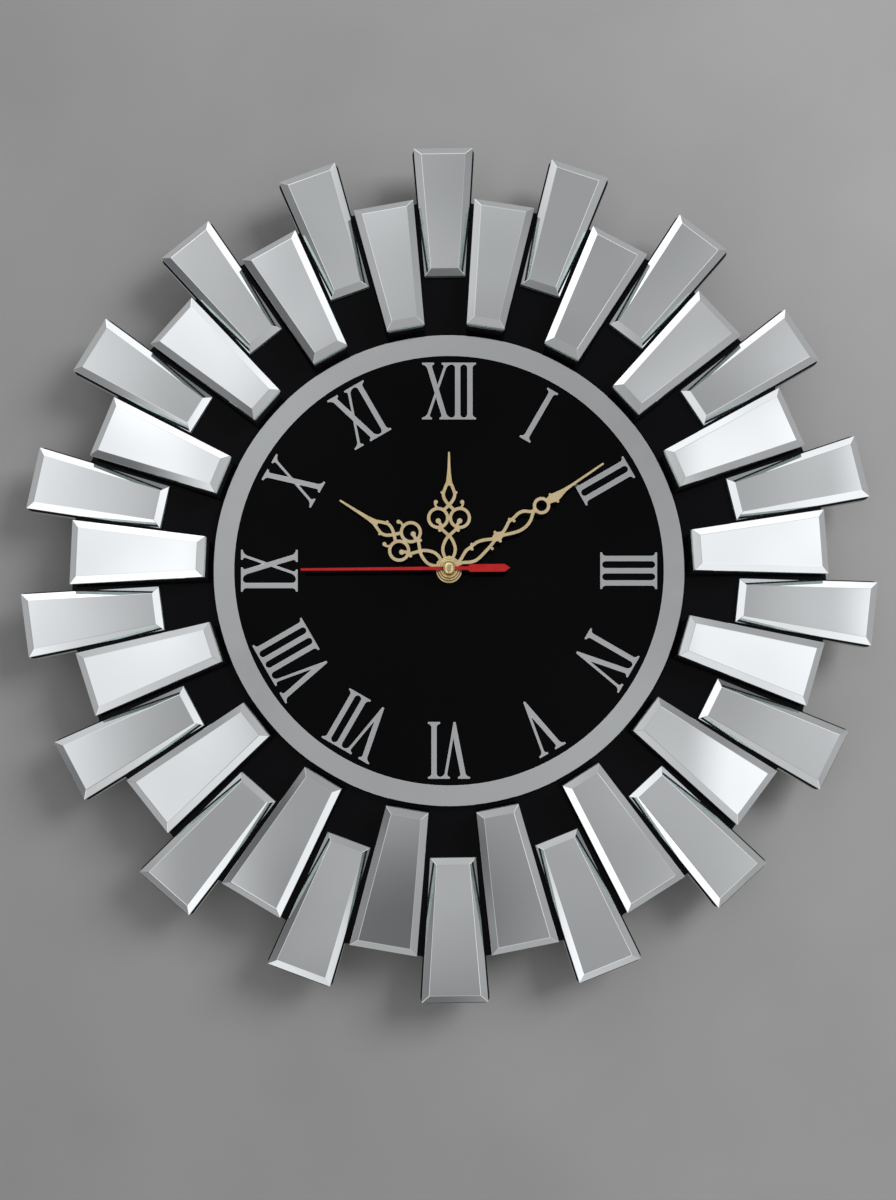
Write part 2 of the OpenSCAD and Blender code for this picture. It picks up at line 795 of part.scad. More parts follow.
module second_hand() {
    paddle_y = 11;
    color("#c92a2a") on_pipe(second_hand_z, arbor_r, second_angle) union() {
        disc(cap_r - 0.4, hand_t);
        flat([
            [-1, 0], [-0.7, second_hand_len], [0.7, second_hand_len], [1, 0],
            [1.1, -paddle_y], [paddle_w / 2, -paddle_y - 1], [paddle_w / 2, 3 - second_tail_len],
            [0, -second_tail_len], [-paddle_w / 2, 3 - second_tail_len],
            [-paddle_w / 2, -paddle_y - 1], [-1.1, -paddle_y]
        ]);
    }
}

// A domed cap pushed onto the end of the second hand's arbor
module hand_cap() {
    dome_h = cap_h - 0.9;
    color("#e3c98c") facing() translate([0, 0, second_hand_z + hand_t]) difference() {
        union() {
            cylinder(r = cap_r, h = cap_h - dome_h);
            translate([0, 0, cap_h - dome_h]) rotate_extrude()
                polygon([for (a = [0:9:90]) [cap_r * cos(a), dome_h * sin(a)], [0, 0]]);
        }
        disc(arbor_r + push_gap, 1.2, -0.2);
    }
}

// Fixings on the bush

module fixing_nut() {
    color("#c8a24a") facing() translate([0, 0, washer_front]) difference() {
        cylinder(r = nut_flats / 2 / cos(30), h = nut_h, $fn = 6);
        disc(bush_r + push_gap, nut_h + 2, -1);
    }
}

module metal_washer() {
    color("#cfae5c") facing() tube(washer_r, bush_r + bush_gap, washer_t, dial_front);
}

module rubber_washer() {
    color("#1d1d1f") facing() tube(rubber_r, bush_r + bush_gap, rubber_t, case_d);
}

// Movement case

module switch_cut() {
    slot_y = switch_tab[1] + switch_travel + 2 * switch_slip;
    slot_z = switch_tab[2] + 2 * switch_slip;
    translate([case_in - 1, switch_y - switch_tab[1] / 2 - switch_slip, switch_z - slot_z / 2])
        cube([case_wall + 2, slot_y, slot_z]);
}

// Two lipped rails that carry the switch slider along the inside of the wall
module switch_rails() {
    length = switch_flange[1] + switch_travel + 2;
    low_y = switch_y - switch_flange[1] / 2 - 1;
    half = switch_flange[2] / 2 + switch_slip;
    depth = switch_flange[0] + 2 * switch_slip;
    for (side = [-1, 1]) {
        translate([case_in - depth - rail_t, low_y, switch_z + side * (half + rail_t / 2) - rail_t / 2])
            cube([depth + rail_t + 0.1, length, rail_t]);
        translate([case_in - depth - rail_t, low_y, switch_z + side * (half - rail_t / 2) - rail_t / 2])
            cube([rail_t, length, rail_t]);
    }
}

module movement_case() {
    color("#17181b") facing() difference() {
        union() {
            difference() {
                translate([0, (case_top + case_low) / 2, cover_t]) linear_extrude(case_d - cover_t)
                    rounded_square(case_w, case_top - case_low, case_corner_r);
                translate([-case_in, case_in_low, cover_t - 1])
                    cube([2 * case_in, case_in_top - case_in_low, case_in_z - cover_t + 1]);
            }
            box([-case_in, bay_top, cover_t], [case_in, -bay_drop, case_in_z + 0.1]);
            for (p = post_places) disc(post_r, case_in_z + 0.1 - plate_top, plate_top, p);
            disc(bush_r, bush_top - case_d + 0.2, case_d - 0.2);
            switch_rails();
        }
        disc(bush_bore, case_d + bush_top, 0);
        for (p = [motion_at, alarm_at]) disc(setting_r + running_fit, 0.8, case_in_z - 0.01, p);
        for (p = post_places) disc(plate_screw_r + push_gap, plate_screw_len + 0.4, plate_top - 1, p);
        switch_cut();
    }
}

// The snap-in cover over the train, with two wells for the setting knobs
module rear_cover() {
    top_y = case_top;
    clip_w = 10;
    color("#202226") facing() difference() {
        union() {
            box([-case_w / 2, bay_top, 0], [case_w / 2, top_y - case_corner_r, cover_t]);
            box(
                [-case_w / 2 + case_corner_r, top_y - case_corner_r - 0.1, 0],
                [case_w / 2 - case_corner_r, top_y, cover_t]
            );
            for (side = [-1, 1]) {
                disc(
                    case_corner_r, cover_t, 0,
                    [side * (case_w / 2 - case_corner_r), top_y - case_corner_r]
                );
                translate([side * (case_in - 0.7) - 0.5, -clip_w / 2 + 4, cover_t - 0.1])
                    cube([1, clip_w, plate_z - cover_t - 0.3]);
            }
            for (p = [motion_at, alarm_at])
                disc(well_r + well_wall, well_floor_z + well_floor_t, 0, p);
        }
        for (p = [motion_at, alarm_at]) {
            disc(well_r, well_floor_z + 1, -1, p);
            disc(setting_r + 2 * running_fit, 8, 0, p);
        }
    }
}

module gear_plate() {
    plate_inset = 1.3;
    edge = case_in - plate_inset;
    color("#d8d6cf") facing() difference() {
        union() {
            box([-edge, 0.6 - bay_drop, plate_z], [edge, case_in_top - plate_inset, plate_top]);
            disc(shoulder_r, wheel_z(0) - end_play - plate_z, plate_z, step_at);
            disc(pivot_r, wheel_z(1) + wheel_t + 0.3 - plate_z, plate_z, step_at);
            disc(shoulder_r, wheel_z(2) - end_play - plate_z, plate_z, third_at);
            disc(pivot_r, wheel_z(3) + wheel_t + 0.3 - plate_z, plate_z, third_at);
            disc(shoulder_r, wheel_z(0) - end_play - plate_z, plate_z, rotor_at);
            disc(pivot_r, magnet_z + magnet_h + 0.3 - plate_z, plate_z, rotor_at);
            for (x = [stator_x0 + leg_w / 2, stator_x1 - leg_w / 2])
                disc(stator_post_r, stator_z - plate_z, plate_z, [x, stator_y1 - 1.4]);
        }
        disc(arbor_r + running_fit, plate_t + 2, plate_z - 1);
        for (p = [motion_at, alarm_at]) disc(setting_r + running_fit, plate_t + 2, plate_z - 1, p);
        for (p = post_places) disc(plate_screw_r + screw_gap, plate_t + 2, plate_z - 1, p);
    }
}

module plate_screws() {
    color("#b9bcc0") facing() for (p = post_places) {
        disc(plate_screw_r, plate_screw_len, plate_z - 0.1, p);
        disc(2 * plate_screw_r, 1, plate_z - 1, p);
    }
}

// Gears: slender teeth, which keep clear of each other at every angle
function gear_module(reach, teeth_a, teeth_b) = 2 * reach / (teeth_a + teeth_b);

function gear_points(teeth, size, phase) =
    let (r = teeth * size / 2, pitch = 360 / teeth)
    let (root = r - 0.95 * size, tip = r + 0.62 * size)
    [for (k = [0:teeth - 1]) let (a = phase + k * pitch) each [
        root * [cos(a - 0.25 * pitch), sin(a - 0.25 * pitch)],
        r * [cos(a - 0.185 * pitch), sin(a - 0.185 * pitch)],
        tip * [cos(a - 0.07 * pitch), sin(a - 0.07 * pitch)],
        tip * [cos(a + 0.07 * pitch), sin(a + 0.07 * pitch)],
        r * [cos(a + 0.185 * pitch), sin(a + 0.185 * pitch)],
        root * [cos(a + 0.25 * pitch), sin(a + 0.25 * pitch)]
    ]];

// A gear with a tooth centred on the angle phase
module gear(teeth, size, phase, h, z) {
    translate([0, 0, z]) linear_extrude(h) polygon(gear_points(teeth, size, phase));
}

// The phase that puts a gap, not a tooth, on the angle a
function gap_at(a, teeth) = a + 180 / teeth;

rotor_module = gear_module(rotor_reach, rotor_teeth, step_teeth);
step_module = gear_module(train_reach, step_pinion_teeth, seconds_teeth);
third_module = gear_module(train_reach, seconds_pinion_teeth, third_teeth);
centre_module = gear_module(train_reach, third_pinion_teeth, centre_teeth);
motion_module = gear_module(setting_reach, minute_pinion_teeth, motion_teeth);
hour_module = gear_module(setting_reach, motion_pinion_teeth, hour_teeth);
alarm_module = gear_module(setting_reach, alarm_teeth, alarm_pinion_teeth);

module rotor() {
    pinion_h = magnet_z - wheel_z(0) + 0.1;
    color("#6d7076") facing() translate([rotor_at[0], rotor_at[1], 0]) difference() {
        union() {
            gear(rotor_teeth, rotor_module, rotor_dir + 180, pinion_h, wheel_z(0));
            disc(magnet_r, magnet_h, magnet_z);
        }
        disc(pivot_r + running_fit, case_d, 0);
    }
}

module step_wheel() {
    color("#e9e4d4") facing() translate([step_at[0], step_at[1], 0]) difference() {
        union() {
            gear(step_teeth, rotor_module, gap_at(rotor_dir, step_teeth), wheel_t, wheel_z(0));
            gear(
                step_pinion_teeth, step_module, step_dir + 180,
                wheel_rise + 0.1, wheel_z(0) + wheel_t - 0.1
            );
        }
        disc(pivot_r + running_fit, case_d, 0);
    }
}

module seconds_wheel() {
    color("#e9e4d4") facing() union() {
        disc(arbor_r, second_hand_z + hand_t + 0.8 - plate_z - 0.2, plate_z + 0.2);
        disc(shoulder_r, wheel_z(1) - plate_top - end_play + 0.1, plate_top + end_play);
        gear(seconds_teeth, step_module, gap_at(step_dir, seconds_teeth), wheel_t, wheel_z(1));
        gear(
            seconds_pinion_teeth, third_module, third_dir,
            wheel_rise + 0.1, wheel_z(1) + wheel_t - 0.1
        );
    }
}

module third_wheel() {
    color("#e9e4d4") facing() translate([third_at[0], third_at[1], 0]) difference() {
        union() {
            gear(
                third_teeth, third_module, gap_at(third_dir + 180, third_teeth),
                wheel_t, wheel_z(2)
            );
            gear(
                third_pinion_teeth, centre_module, third_dir + 180,
                wheel_rise + 0.1, wheel_z(2) + wheel_t - 0.1
            );
        }
        disc(pivot_r + running_fit, case_d, 0);
    }
}

module centre_wheel() {
    color("#cdb267") facing() difference() {
        union() {
            gear(centre_teeth, centre_module, gap_at(third_dir, centre_teeth), wheel_t, wheel_z(3));
            gear(
                minute_pinion_teeth, motion_module, motion_dir,
                wheel_rise + 0.1, wheel_z(3) + wheel_t - 0.1
            );
            disc(minute_pipe_r, minute_hand_z + hand_t + pipe_proud - wheel_z(3), wheel_z(3));
        }
        disc(minute_bore, 2 * second_hand_z, 0);
    }
}

// The motion wheel and its pinion on the arbor of the time knob
module motion_wheel() {
    color("#e9e4d4") facing() translate([motion_at[0], motion_at[1], 0]) union() {
        disc(setting_r, setting_end - knob_z - 0.8, knob_z + 0.8);
        gear(
            motion_teeth, motion_module, gap_at(motion_dir + 180, motion_teeth),
            wheel_t, wheel_z(4)
        );
        gear(
            motion_pinion_teeth, hour_module, motion_dir + 180,
            wheel_rise + 0.1, wheel_z(4) + wheel_t - 0.1
        );
    }
}

module hour_wheel() {
    color("#cdb267") facing() difference() {
        union() {
            gear(hour_teeth, hour_module, gap_at(motion_dir, hour_teeth), wheel_t, wheel_z(5));
            disc(hour_pipe_r, hour_hand_z + hand_t + pipe_proud - wheel_z(5), wheel_z(5));
        }
        disc(hour_bore, 2 * second_hand_z, 0);
    }
}

module alarm_wheel() {
    color("#cdb267") facing() difference() {
        union() {
            gear(alarm_teeth, alarm_module, gap_at(alarm_dir, alarm_teeth), wheel_t, wheel_z(6));
            disc(alarm_pipe_r, alarm_hand_z + hand_t + pipe_proud - wheel_z(6), wheel_z(6));
        }
        disc(alarm_bore, 2 * second_hand_z, 0);
    }
}

module alarm_pinion() {
    color("#e9e4d4") facing() translate([alarm_at[0], alarm_at[1], 0]) union() {
        disc(setting_r, setting_end - knob_z - 0.8, knob_z + 0.8);
        gear(
            alarm_pinion_teeth, alarm_module, alarm_dir + 180,
            wheel_t + 0.4, wheel_z(6) - 0.2
        );
    }
}

// A setting knob with a grip bar across its face
module setting_knob(at) {
    bar_w = 1.4;
    rim_sink = 0.9;
    translate([at[0], at[1], knob_z]) difference() {
        union() {
            disc(knob_r, knob_h - rim_sink, rim_sink);
            translate([-bar_w / 2, -knob_r + 0.5, 0]) cube([bar_w, 2 * knob_r - 1, rim_sink + 0.1]);
        }
        disc(setting_r + push_gap, knob_h, 0.8 - push_gap);
    }
}

module time_knob() {
    color("#2b2d31") facing() setting_knob(motion_at);
}

module alarm_knob() {
    color("#2b2d31") facing() setting_knob(alarm_at);
}

// Motor and electrics

module stator() {
    color("#9a9da1") facing() translate([0, 0, stator_z]) difference() {
        union() {
            box([stator_x0, stator_y0, 0], [stator_x1, stator_y1, stator_t]);
            for (x = [stator_x0, stator_x1 - leg_w])
                box([x, stator_y1 - 0.1, 0], [x + leg_w, coil_y + core_w / 2, stator_t]);
            box(
                [stator_x0, coil_y - core_w / 2, 0],
                [stator_x1, coil_y + core_w / 2, stator_t]
            );
        }
        disc(magnet_r + air_gap, stator_t + 2, -1, rotor_at);
    }
}

module coil() {
    slack = 0.1;
    color("#b5713a") facing() translate([coil_x, coil_y, coil_z]) difference() {
        rotate([0, 90, 0]) cylinder(r = coil_r, h = coil_len, center = true);
        cube([coil_len + 2, core_w + 2 * slack, stator_t + 2 * slack], center = true);
    }
}

module circuit_board() {
    color("#2f6b3c") facing() translate([circuit_x - circuit_w / 2, circuit_y - circuit_h / 2, plate_top])
        cube([circuit_w, circuit_h, circuit_t]);
}

module quartz_crystal() {
    length = 6;
    color("#c4c7ca") facing()
        translate([circuit_x - 6, circuit_y + 2.6, plate_top + circuit_t + crystal_r])
        rotate([0, 90, 0]) cylinder(r = crystal_r, h = length);
}

module chip() {
    size = [5, 5, 1.2];
    color("#0f0f10") facing()
        translate([circuit_x, circuit_y - 3.6, plate_top + circuit_t]) cube(size);
}

module buzzer() {
    color("#c9a95a") facing() disc(buzzer_r, buzzer_t, case_in_z - buzzer_t, buzzer_at);
}

module battery() {
    body_len = battery_len - button_len;
    color("#3b4a58") facing() translate([battery_end - battery_len, battery_y, battery_z])
        rotate([0, 90, 0]) union() {
            cylinder(r = battery_r, h = body_len);
            translate([0, 0, body_len - 0.1]) cylinder(r = button_r, h = button_len + 0.1);
        }
}

module positive_contact() {
    half = [4.8, 6];
    color("#c3c6c9") facing() box(
        [case_in - contact_t, battery_y - half[0], battery_z - half[1]],
        [case_in, battery_y + half[0], battery_z + half[1]]
    );
}

// A bent leaf that presses on the flat end of the battery
module negative_contact() {
    half = [4.8, 6];
    crest = battery_end - battery_len - contact_gap;
    color("#c3c6c9") facing() translate([0, battery_y, battery_z - half[1]])
        linear_extrude(2 * half[1]) polygon([
            [-case_in, -half[0]], [-case_in + contact_t, -half[0]], [crest, -0.6], [crest, 0.6],
            [-case_in + contact_t, half[0]], [-case_in, half[0]],
            [-case_in, half[0] - contact_t], [crest - contact_t, 0.4], [crest - contact_t, -0.4],
            [-case_in, -half[0] + contact_t]
        ]);
}

module alarm_switch() {
    inner_x = case_in - switch_slip - switch_flange[0];
    color("#8c2f2b") facing() translate([0, switch_y, switch_z]) union() {
        translate([inner_x, -switch_flange[1] / 2, -switch_flange[2] / 2]) cube(switch_flange);
        translate([case_in - switch_slip - 0.1, -switch_tab[1] / 2, -switch_tab[2] / 2])
            cube([switch_slip + 0.1 + case_wall + 1.6, switch_tab[1], switch_tab[2]]);
    }
}

// Hanger and spacers

module keyhole(h) {
    disc(hanger_hole_r, h, -1, [0, hanger_y]);
    translate([-hanger_slot_w / 2, hanger_y, -1]) cube([hanger_slot_w, hanger_slot_len, h]);
    disc(hanger_slot_w / 2, h, -1, [0, hanger_y + hanger_slot_len]);
}

module hanger_plate() {
    color("#b7babd") facing() difference() {
        box([-hanger_w / 2, hanger_low, 0], [hanger_w / 2, hanger_low + hanger_h, hanger_t]);
        keyhole(hanger_t + 2);
        for (x = [-hanger_screw_x, hanger_screw_x]) translate([x, hanger_mid, -0.05])
            cylinder(r1 = screw_head_r + 0.15, r2 = hanger_screw_r + 0.1, h = hanger_t + 0.1);
    }
}

module hanger_screws() {
    color("#8f9296") facing() for (x = [-hanger_screw_x, hanger_screw_x]) translate([x, hanger_mid, 0]) {
        cylinder(r1 = screw_head_r, r2 = hanger_screw_r, h = hanger_t);
        disc(hanger_screw_r, hanger_screw_len - hanger_t, hanger_t - 0.01);
    }
}

module hanger_block() {
    pocket_w = 2 * hanger_hole_r + 8;
    color("#b58c5a") facing() difference() {
        box(
            [-hanger_w / 2 - block_rim, hanger_low - block_rim, hanger_t],
            [hanger_w / 2 + block_rim, hanger_low + hanger_h + block_rim, board_z]
        );
        box(
            [-pocket_w / 2, hanger_low + 2, 0],
            [pocket_w / 2, hanger_low + hanger_h - 2, hanger_t + pocket_d]
        );
        for (x = [-hanger_screw_x, hanger_screw_x])
            disc(hanger_screw_r + push_gap, hanger_screw_len + 0.2, 0, [x, hanger_mid]);
    }
}

spacer_places = [for (a = [150, 210]) at_clock(a, spacer_reach)];

module wall_spacers() {
    color("#b58c5a") facing() for (p = spacer_places) disc(spacer_r, board_z - pad_t, pad_t, p);
}

module spacer_pads() {
    color("#3a3d42") facing() for (p = spacer_places) disc(spacer_r, pad_t, 0, p);
}

back_board();
outer_mirrors();
inner_mirrors();
mirror_risers();
dial_glass();
dial_ring();
for (hour = [1:12]) numeral(hour);
alarm_hand();
hour_hand();
minute_hand();
second_hand();
hand_cap();
fixing_nut();
metal_washer();
rubber_washer();
movement_case();
rear_cover();
gear_plate();
plate_screws();
rotor();
step_wheel();
seconds_wheel();
third_wheel();
centre_wheel();
motion_wheel();
hour_wheel();
alarm_wheel();
alarm_pinion();
time_knob();
alarm_knob();
stator();
coil();
circuit_board();
quartz_crystal();
chip();
buzzer();
battery();
positive_contact();
negative_contact();
alarm_switch();
hanger_block();
hanger_plate();
hanger_screws();
wall_spacers();
spacer_pads();
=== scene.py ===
# %% [markdown]
# # Dressing a mirror wall clock
# The packed model gives every piece of the clock at its real size: tiles, dial, hands and the
# quartz movement behind them. This lesson adds what a solid model leaves out, which is the
# finish of each surface and the small broken edges that catch the light. Nothing is moved.

# %% Load the frame
import json
import math

import bpy
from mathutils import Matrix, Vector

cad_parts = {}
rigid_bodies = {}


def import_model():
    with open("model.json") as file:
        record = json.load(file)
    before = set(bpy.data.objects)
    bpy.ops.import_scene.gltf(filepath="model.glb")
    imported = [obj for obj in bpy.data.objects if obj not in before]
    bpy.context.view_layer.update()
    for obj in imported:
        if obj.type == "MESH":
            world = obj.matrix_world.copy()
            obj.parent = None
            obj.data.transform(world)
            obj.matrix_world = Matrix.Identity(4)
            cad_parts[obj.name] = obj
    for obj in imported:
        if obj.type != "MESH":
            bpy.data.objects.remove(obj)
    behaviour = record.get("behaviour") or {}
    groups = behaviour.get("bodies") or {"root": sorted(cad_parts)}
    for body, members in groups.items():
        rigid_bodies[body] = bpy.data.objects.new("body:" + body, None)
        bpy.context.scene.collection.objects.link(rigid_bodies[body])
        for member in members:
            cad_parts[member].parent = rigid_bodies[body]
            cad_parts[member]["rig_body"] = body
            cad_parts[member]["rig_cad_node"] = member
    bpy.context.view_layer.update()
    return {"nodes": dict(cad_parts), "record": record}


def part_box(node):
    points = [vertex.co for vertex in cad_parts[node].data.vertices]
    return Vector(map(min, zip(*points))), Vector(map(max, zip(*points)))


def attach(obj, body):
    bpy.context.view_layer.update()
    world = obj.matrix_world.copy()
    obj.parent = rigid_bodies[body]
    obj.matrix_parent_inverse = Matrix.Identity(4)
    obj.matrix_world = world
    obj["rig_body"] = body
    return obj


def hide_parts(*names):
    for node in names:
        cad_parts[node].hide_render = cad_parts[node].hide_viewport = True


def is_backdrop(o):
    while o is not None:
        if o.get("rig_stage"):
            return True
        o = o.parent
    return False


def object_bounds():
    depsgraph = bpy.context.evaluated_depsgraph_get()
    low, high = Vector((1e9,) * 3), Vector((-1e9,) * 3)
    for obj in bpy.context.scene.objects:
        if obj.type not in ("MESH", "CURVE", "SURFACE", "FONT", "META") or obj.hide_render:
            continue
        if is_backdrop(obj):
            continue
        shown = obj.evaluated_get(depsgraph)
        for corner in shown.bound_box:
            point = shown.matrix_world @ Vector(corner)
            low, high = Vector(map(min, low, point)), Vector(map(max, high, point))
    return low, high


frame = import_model()
nodes = frame["nodes"]
body_of_node = {
    node: body for body, group in frame["record"]["behaviour"]["bodies"].items() for node in group
}
MM = 0.001

# %% [markdown]
# ## The camera
# The photograph was taken square to the wall, a little below the dial: the dial is truly round
# in it, but the raised pieces shift upwards. A tilted camera would make the dial an ellipse,
# so the camera stays level and its lens is shifted, as on a view camera. The numbers are
# pixels of the photograph's 896 by 1200 frame.

# %% Place the camera
PHOTO_W, PHOTO_H = 896, 1200
FOCAL_PX = 1118
EYE_X_PX, EYE_Y_PX = 449, 736
EYE_TO_DIAL = 0.650
EYE_DROP = 0.096
SENSOR = 36
UPRIGHT = (math.radians(90), 0, 0)

dial_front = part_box("dial_glass")[0].y
bpy.ops.object.camera_add(location=(0, dial_front - EYE_TO_DIAL, -EYE_DROP), rotation=UPRIGHT)
camera = bpy.context.object
camera.data.sensor_width = SENSOR
camera.data.lens = SENSOR * FOCAL_PX / PHOTO_H
camera.data.shift_x = (PHOTO_W / 2 - EYE_X_PX) / PHOTO_H
camera.data.shift_y = (EYE_Y_PX - PHOTO_H / 2) / PHOTO_H
bpy.context.scene.camera = camera
bpy.context.scene.view_settings.view_transform = "Standard"
print("camera: lens", round(camera.data.lens, 2), "mm, shift", round(camera.data.shift_y, 3))

# %% [markdown]
# ## A shared effect: mottle
# Real surfaces are never even: polish, lacquer and plastic all vary softly from place to place.
# That could be a painted image, but a node group that turns noise into a value between two
# limits suits every piece at its real size. Two helpers come first: one adds a node with its
# settings, the other starts a group with named sockets.

# %% Node helpers and the mottle group
NOISE_LOW, NOISE_HIGH = 0.3, 0.7


def add(tree, kind, inputs=None, **settings):
    """A new node with its settings and the values of its unlinked inputs."""
    made = tree.nodes.new(kind)
    for name, value in settings.items():
        setattr(made, name, value)
    for name, value in (inputs or {}).items():
        made.inputs[name].default_value = value
    return made


def new_group(name, inputs):
    """A shader group with float inputs, one Vector input and one Value output."""
    tree = bpy.data.node_groups.new(name, "ShaderNodeTree")
    tree.interface.new_socket(name="Vector", in_out="INPUT", socket_type="NodeSocketVector")
    for label, value in inputs.items():
        socket = tree.interface.new_socket(name=label, in_out="INPUT", socket_type="NodeSocketFloat")
        socket.default_value = value
    tree.interface.new_socket(name="Value", in_out="OUTPUT", socket_type="NodeSocketFloat")
    return tree, add(tree, "NodeGroupInput"), add(tree, "NodeGroupOutput")


def build_mottle():
    tree, source, sink = new_group("soft_mottle", {"Scale": 40, "Detail": 3, "Low": 0, "High": 1})
    noise = add(tree, "ShaderNodeTexNoise")
    spread = add(tree, "ShaderNodeMapRange", {"From Min": NOISE_LOW, "From Max": NOISE_HIGH})
    for name in ("Vector", "Scale", "Detail"):
        tree.links.new(source.outputs[name], noise.inputs[name])
    tree.links.new(noise.outputs["Fac"], spread.inputs["Value"])
    tree.links.new(source.outputs["Low"], spread.inputs["To Min"])
    tree.links.new(source.outputs["High"], spread.inputs["To Max"])
    tree.links.new(spread.outputs["Result"], sink.inputs["Value"])
    return tree


MOTTLE = build_mottle()
print("group:", MOTTLE.name, "with", len(MOTTLE.nodes), "nodes")

# %% [markdown]
# ## A shared effect: streaks
# Rolling, brushing and wood fibre leave marks along one direction. The coordinates are squeezed
# along X before the noise reads them, which draws the noise out into streaks.

# %% The streak group
def build_streak():
    tree, source, sink = new_group("fine_streak", {"Scale": 900, "Stretch": 0.03})
    squeeze = add(tree, "ShaderNodeCombineXYZ", {"Y": 1, "Z": 1})
    along = add(tree, "ShaderNodeVectorMath", operation="MULTIPLY")
    noise = add(tree, "ShaderNodeTexNoise", {"Detail": 4})
    tree.links.new(source.outputs["Stretch"], squeeze.inputs["X"])
    tree.links.new(source.outputs["Vector"], along.inputs[0])
    tree.links.new(squeeze.outputs["Vector"], along.inputs[1])
    tree.links.new(along.outputs["Vector"], noise.inputs["Vector"])
    tree.links.new(source.outputs["Scale"], noise.inputs["Scale"])
    tree.links.new(noise.outputs["Fac"], sink.inputs["Value"])
    return tree


STREAK = build_streak()
print("group:", STREAK.name, "with", len(STREAK.nodes), "nodes")

# %% [markdown]
# ## A finish as a small class
# Each finish starts from the Principled shader. Plain numbers go straight onto its sockets;
# what changes over the surface comes from the two groups, on Object coordinates in metres.
# With the class, each finish below reads as a short recipe.

# %% The finish helper
class Finish:
    """A Principled material, with its texture coordinates at hand."""

    def __init__(self, name, color, roughness, metallic=0.0, **sockets):
        self.material = bpy.data.materials.new(name)
        self.material.use_nodes = True
        self.tree = self.material.node_tree
        self.shader = self.tree.nodes["Principled BSDF"]
        values = {"Base Color": (*color, 1), "Roughness": roughness, "Metallic": metallic, **sockets}
        for label, value in values.items():
            self.shader.inputs[label].default_value = value
        self.place = add(self.tree, "ShaderNodeTexCoord").outputs["Object"]

    def link(self, start, end):
        self.tree.links.new(start, end)

    def group(self, tree, **inputs):
        made = add(self.tree, "ShaderNodeGroup", node_tree=tree)
        self.link(self.place, made.inputs["Vector"])
        for label, value in inputs.items():
            made.inputs[label].default_value = value
        return made.outputs["Value"]

    def mottle(self, scale, low=0.0, high=1.0, detail=3):
        return self.group(MOTTLE, Scale=scale, Detail=detail, Low=low, High=high)

    def streak(self, scale, stretch):
        return self.group(STREAK, Scale=scale, Stretch=stretch)

    def rough(self, scale, low, high):
        """Roughness that drifts between two values over the surface."""
        self.link(self.mottle(scale, low, high), self.shader.inputs["Roughness"])
        return self

    def tint(self, mask, first, second):
        """Colour that follows a mask from one tone to another."""
        mix = add(self.tree, "ShaderNodeMix", data_type="RGBA")
        start, end = (socket for socket in mix.inputs if socket.type == "RGBA")
        start.default_value = (*first, 1)
        end.default_value = (*second, 1)
        self.link(mask, mix.inputs["Factor"])
        made = next(socket for socket in mix.outputs if socket.type == "RGBA")
        self.link(made, self.shader.inputs["Base Color"])
        return self

    def bump(self, height, depth):
        """Relief of a real depth in metres."""
        relief = add(self.tree, "ShaderNodeBump", {"Strength": 1, "Distance": depth})
        self.link(height, relief.inputs["Height"])
        self.link(relief.outputs["Normal"], self.shader.inputs["Normal"])
        return self


def tell(*materials):
    print("finishes:", ", ".join(material.name for material in materials))


print("steps of a finish:", ", ".join(name for name in vars(Finish) if not name.startswith("_")))

# %% [markdown]
# ## Mirror glass and silver trim
# A mirror tile is clear glass silvered behind, so it acts as polished metal with a cool tint.
# Float glass is never quite flat: a very shallow relief, some hundredths of a millimetre over a
# few centimetres, makes the reflections drift as they do on the real tiles. The edges are
# ground and polished. Light from the silver comes out there, so an edge is a pale green that
# mirrors a little. The ring and the numerals are silver sheet with a softer polish.

# %% Tile front, edge and back, and silver trim
def mirror_front():
    made = Finish("mirror_front", (0.86, 0.884, 0.905), 0.03, metallic=1.0)
    made.rough(30, 0.015, 0.05)
    return made.bump(made.mottle(16, detail=1), 0.03 * MM).material


def glass_edge():
    made = Finish("glass_edge", (0.5, 0.6, 0.57), 0.2, metallic=0.7)
    made.tint(made.mottle(220), (0.44, 0.54, 0.51), (0.57, 0.68, 0.65))
    return made.rough(120, 0.12, 0.3).material


def silvering_paint():
    made = Finish("silvering_paint", (0.1, 0.1, 0.105), 0.6)
    return made.rough(90, 0.5, 0.7).material


def silver_trim():
    made = Finish("silver_trim", (0.79, 0.812, 0.832), 0.12, metallic=1.0)
    return made.rough(60, 0.09, 0.17).material


MIRROR = mirror_front()
EDGE = glass_edge()
SILVERING = silvering_paint()
TRIM = silver_trim()
tell(MIRROR, EDGE, SILVERING, TRIM)

# %% [markdown]
# ## The end of a riser
# A riser is black packing under a strip of glass, and the strip's ground lower edge shows as a
# pale line. The layers lie at known depths, so a colour ramp along Y draws them: packing, line,
# glass. The line's limits are shares of two strip thicknesses.

# %% Riser stack
STRIP_T = 4 * MM
LINE_FROM, LINE_TO = 0.02, 0.1
PACKING_GREY, LINE_GREY = 0.012, 0.5


def grey(value):
    return (value, value, value, 1)


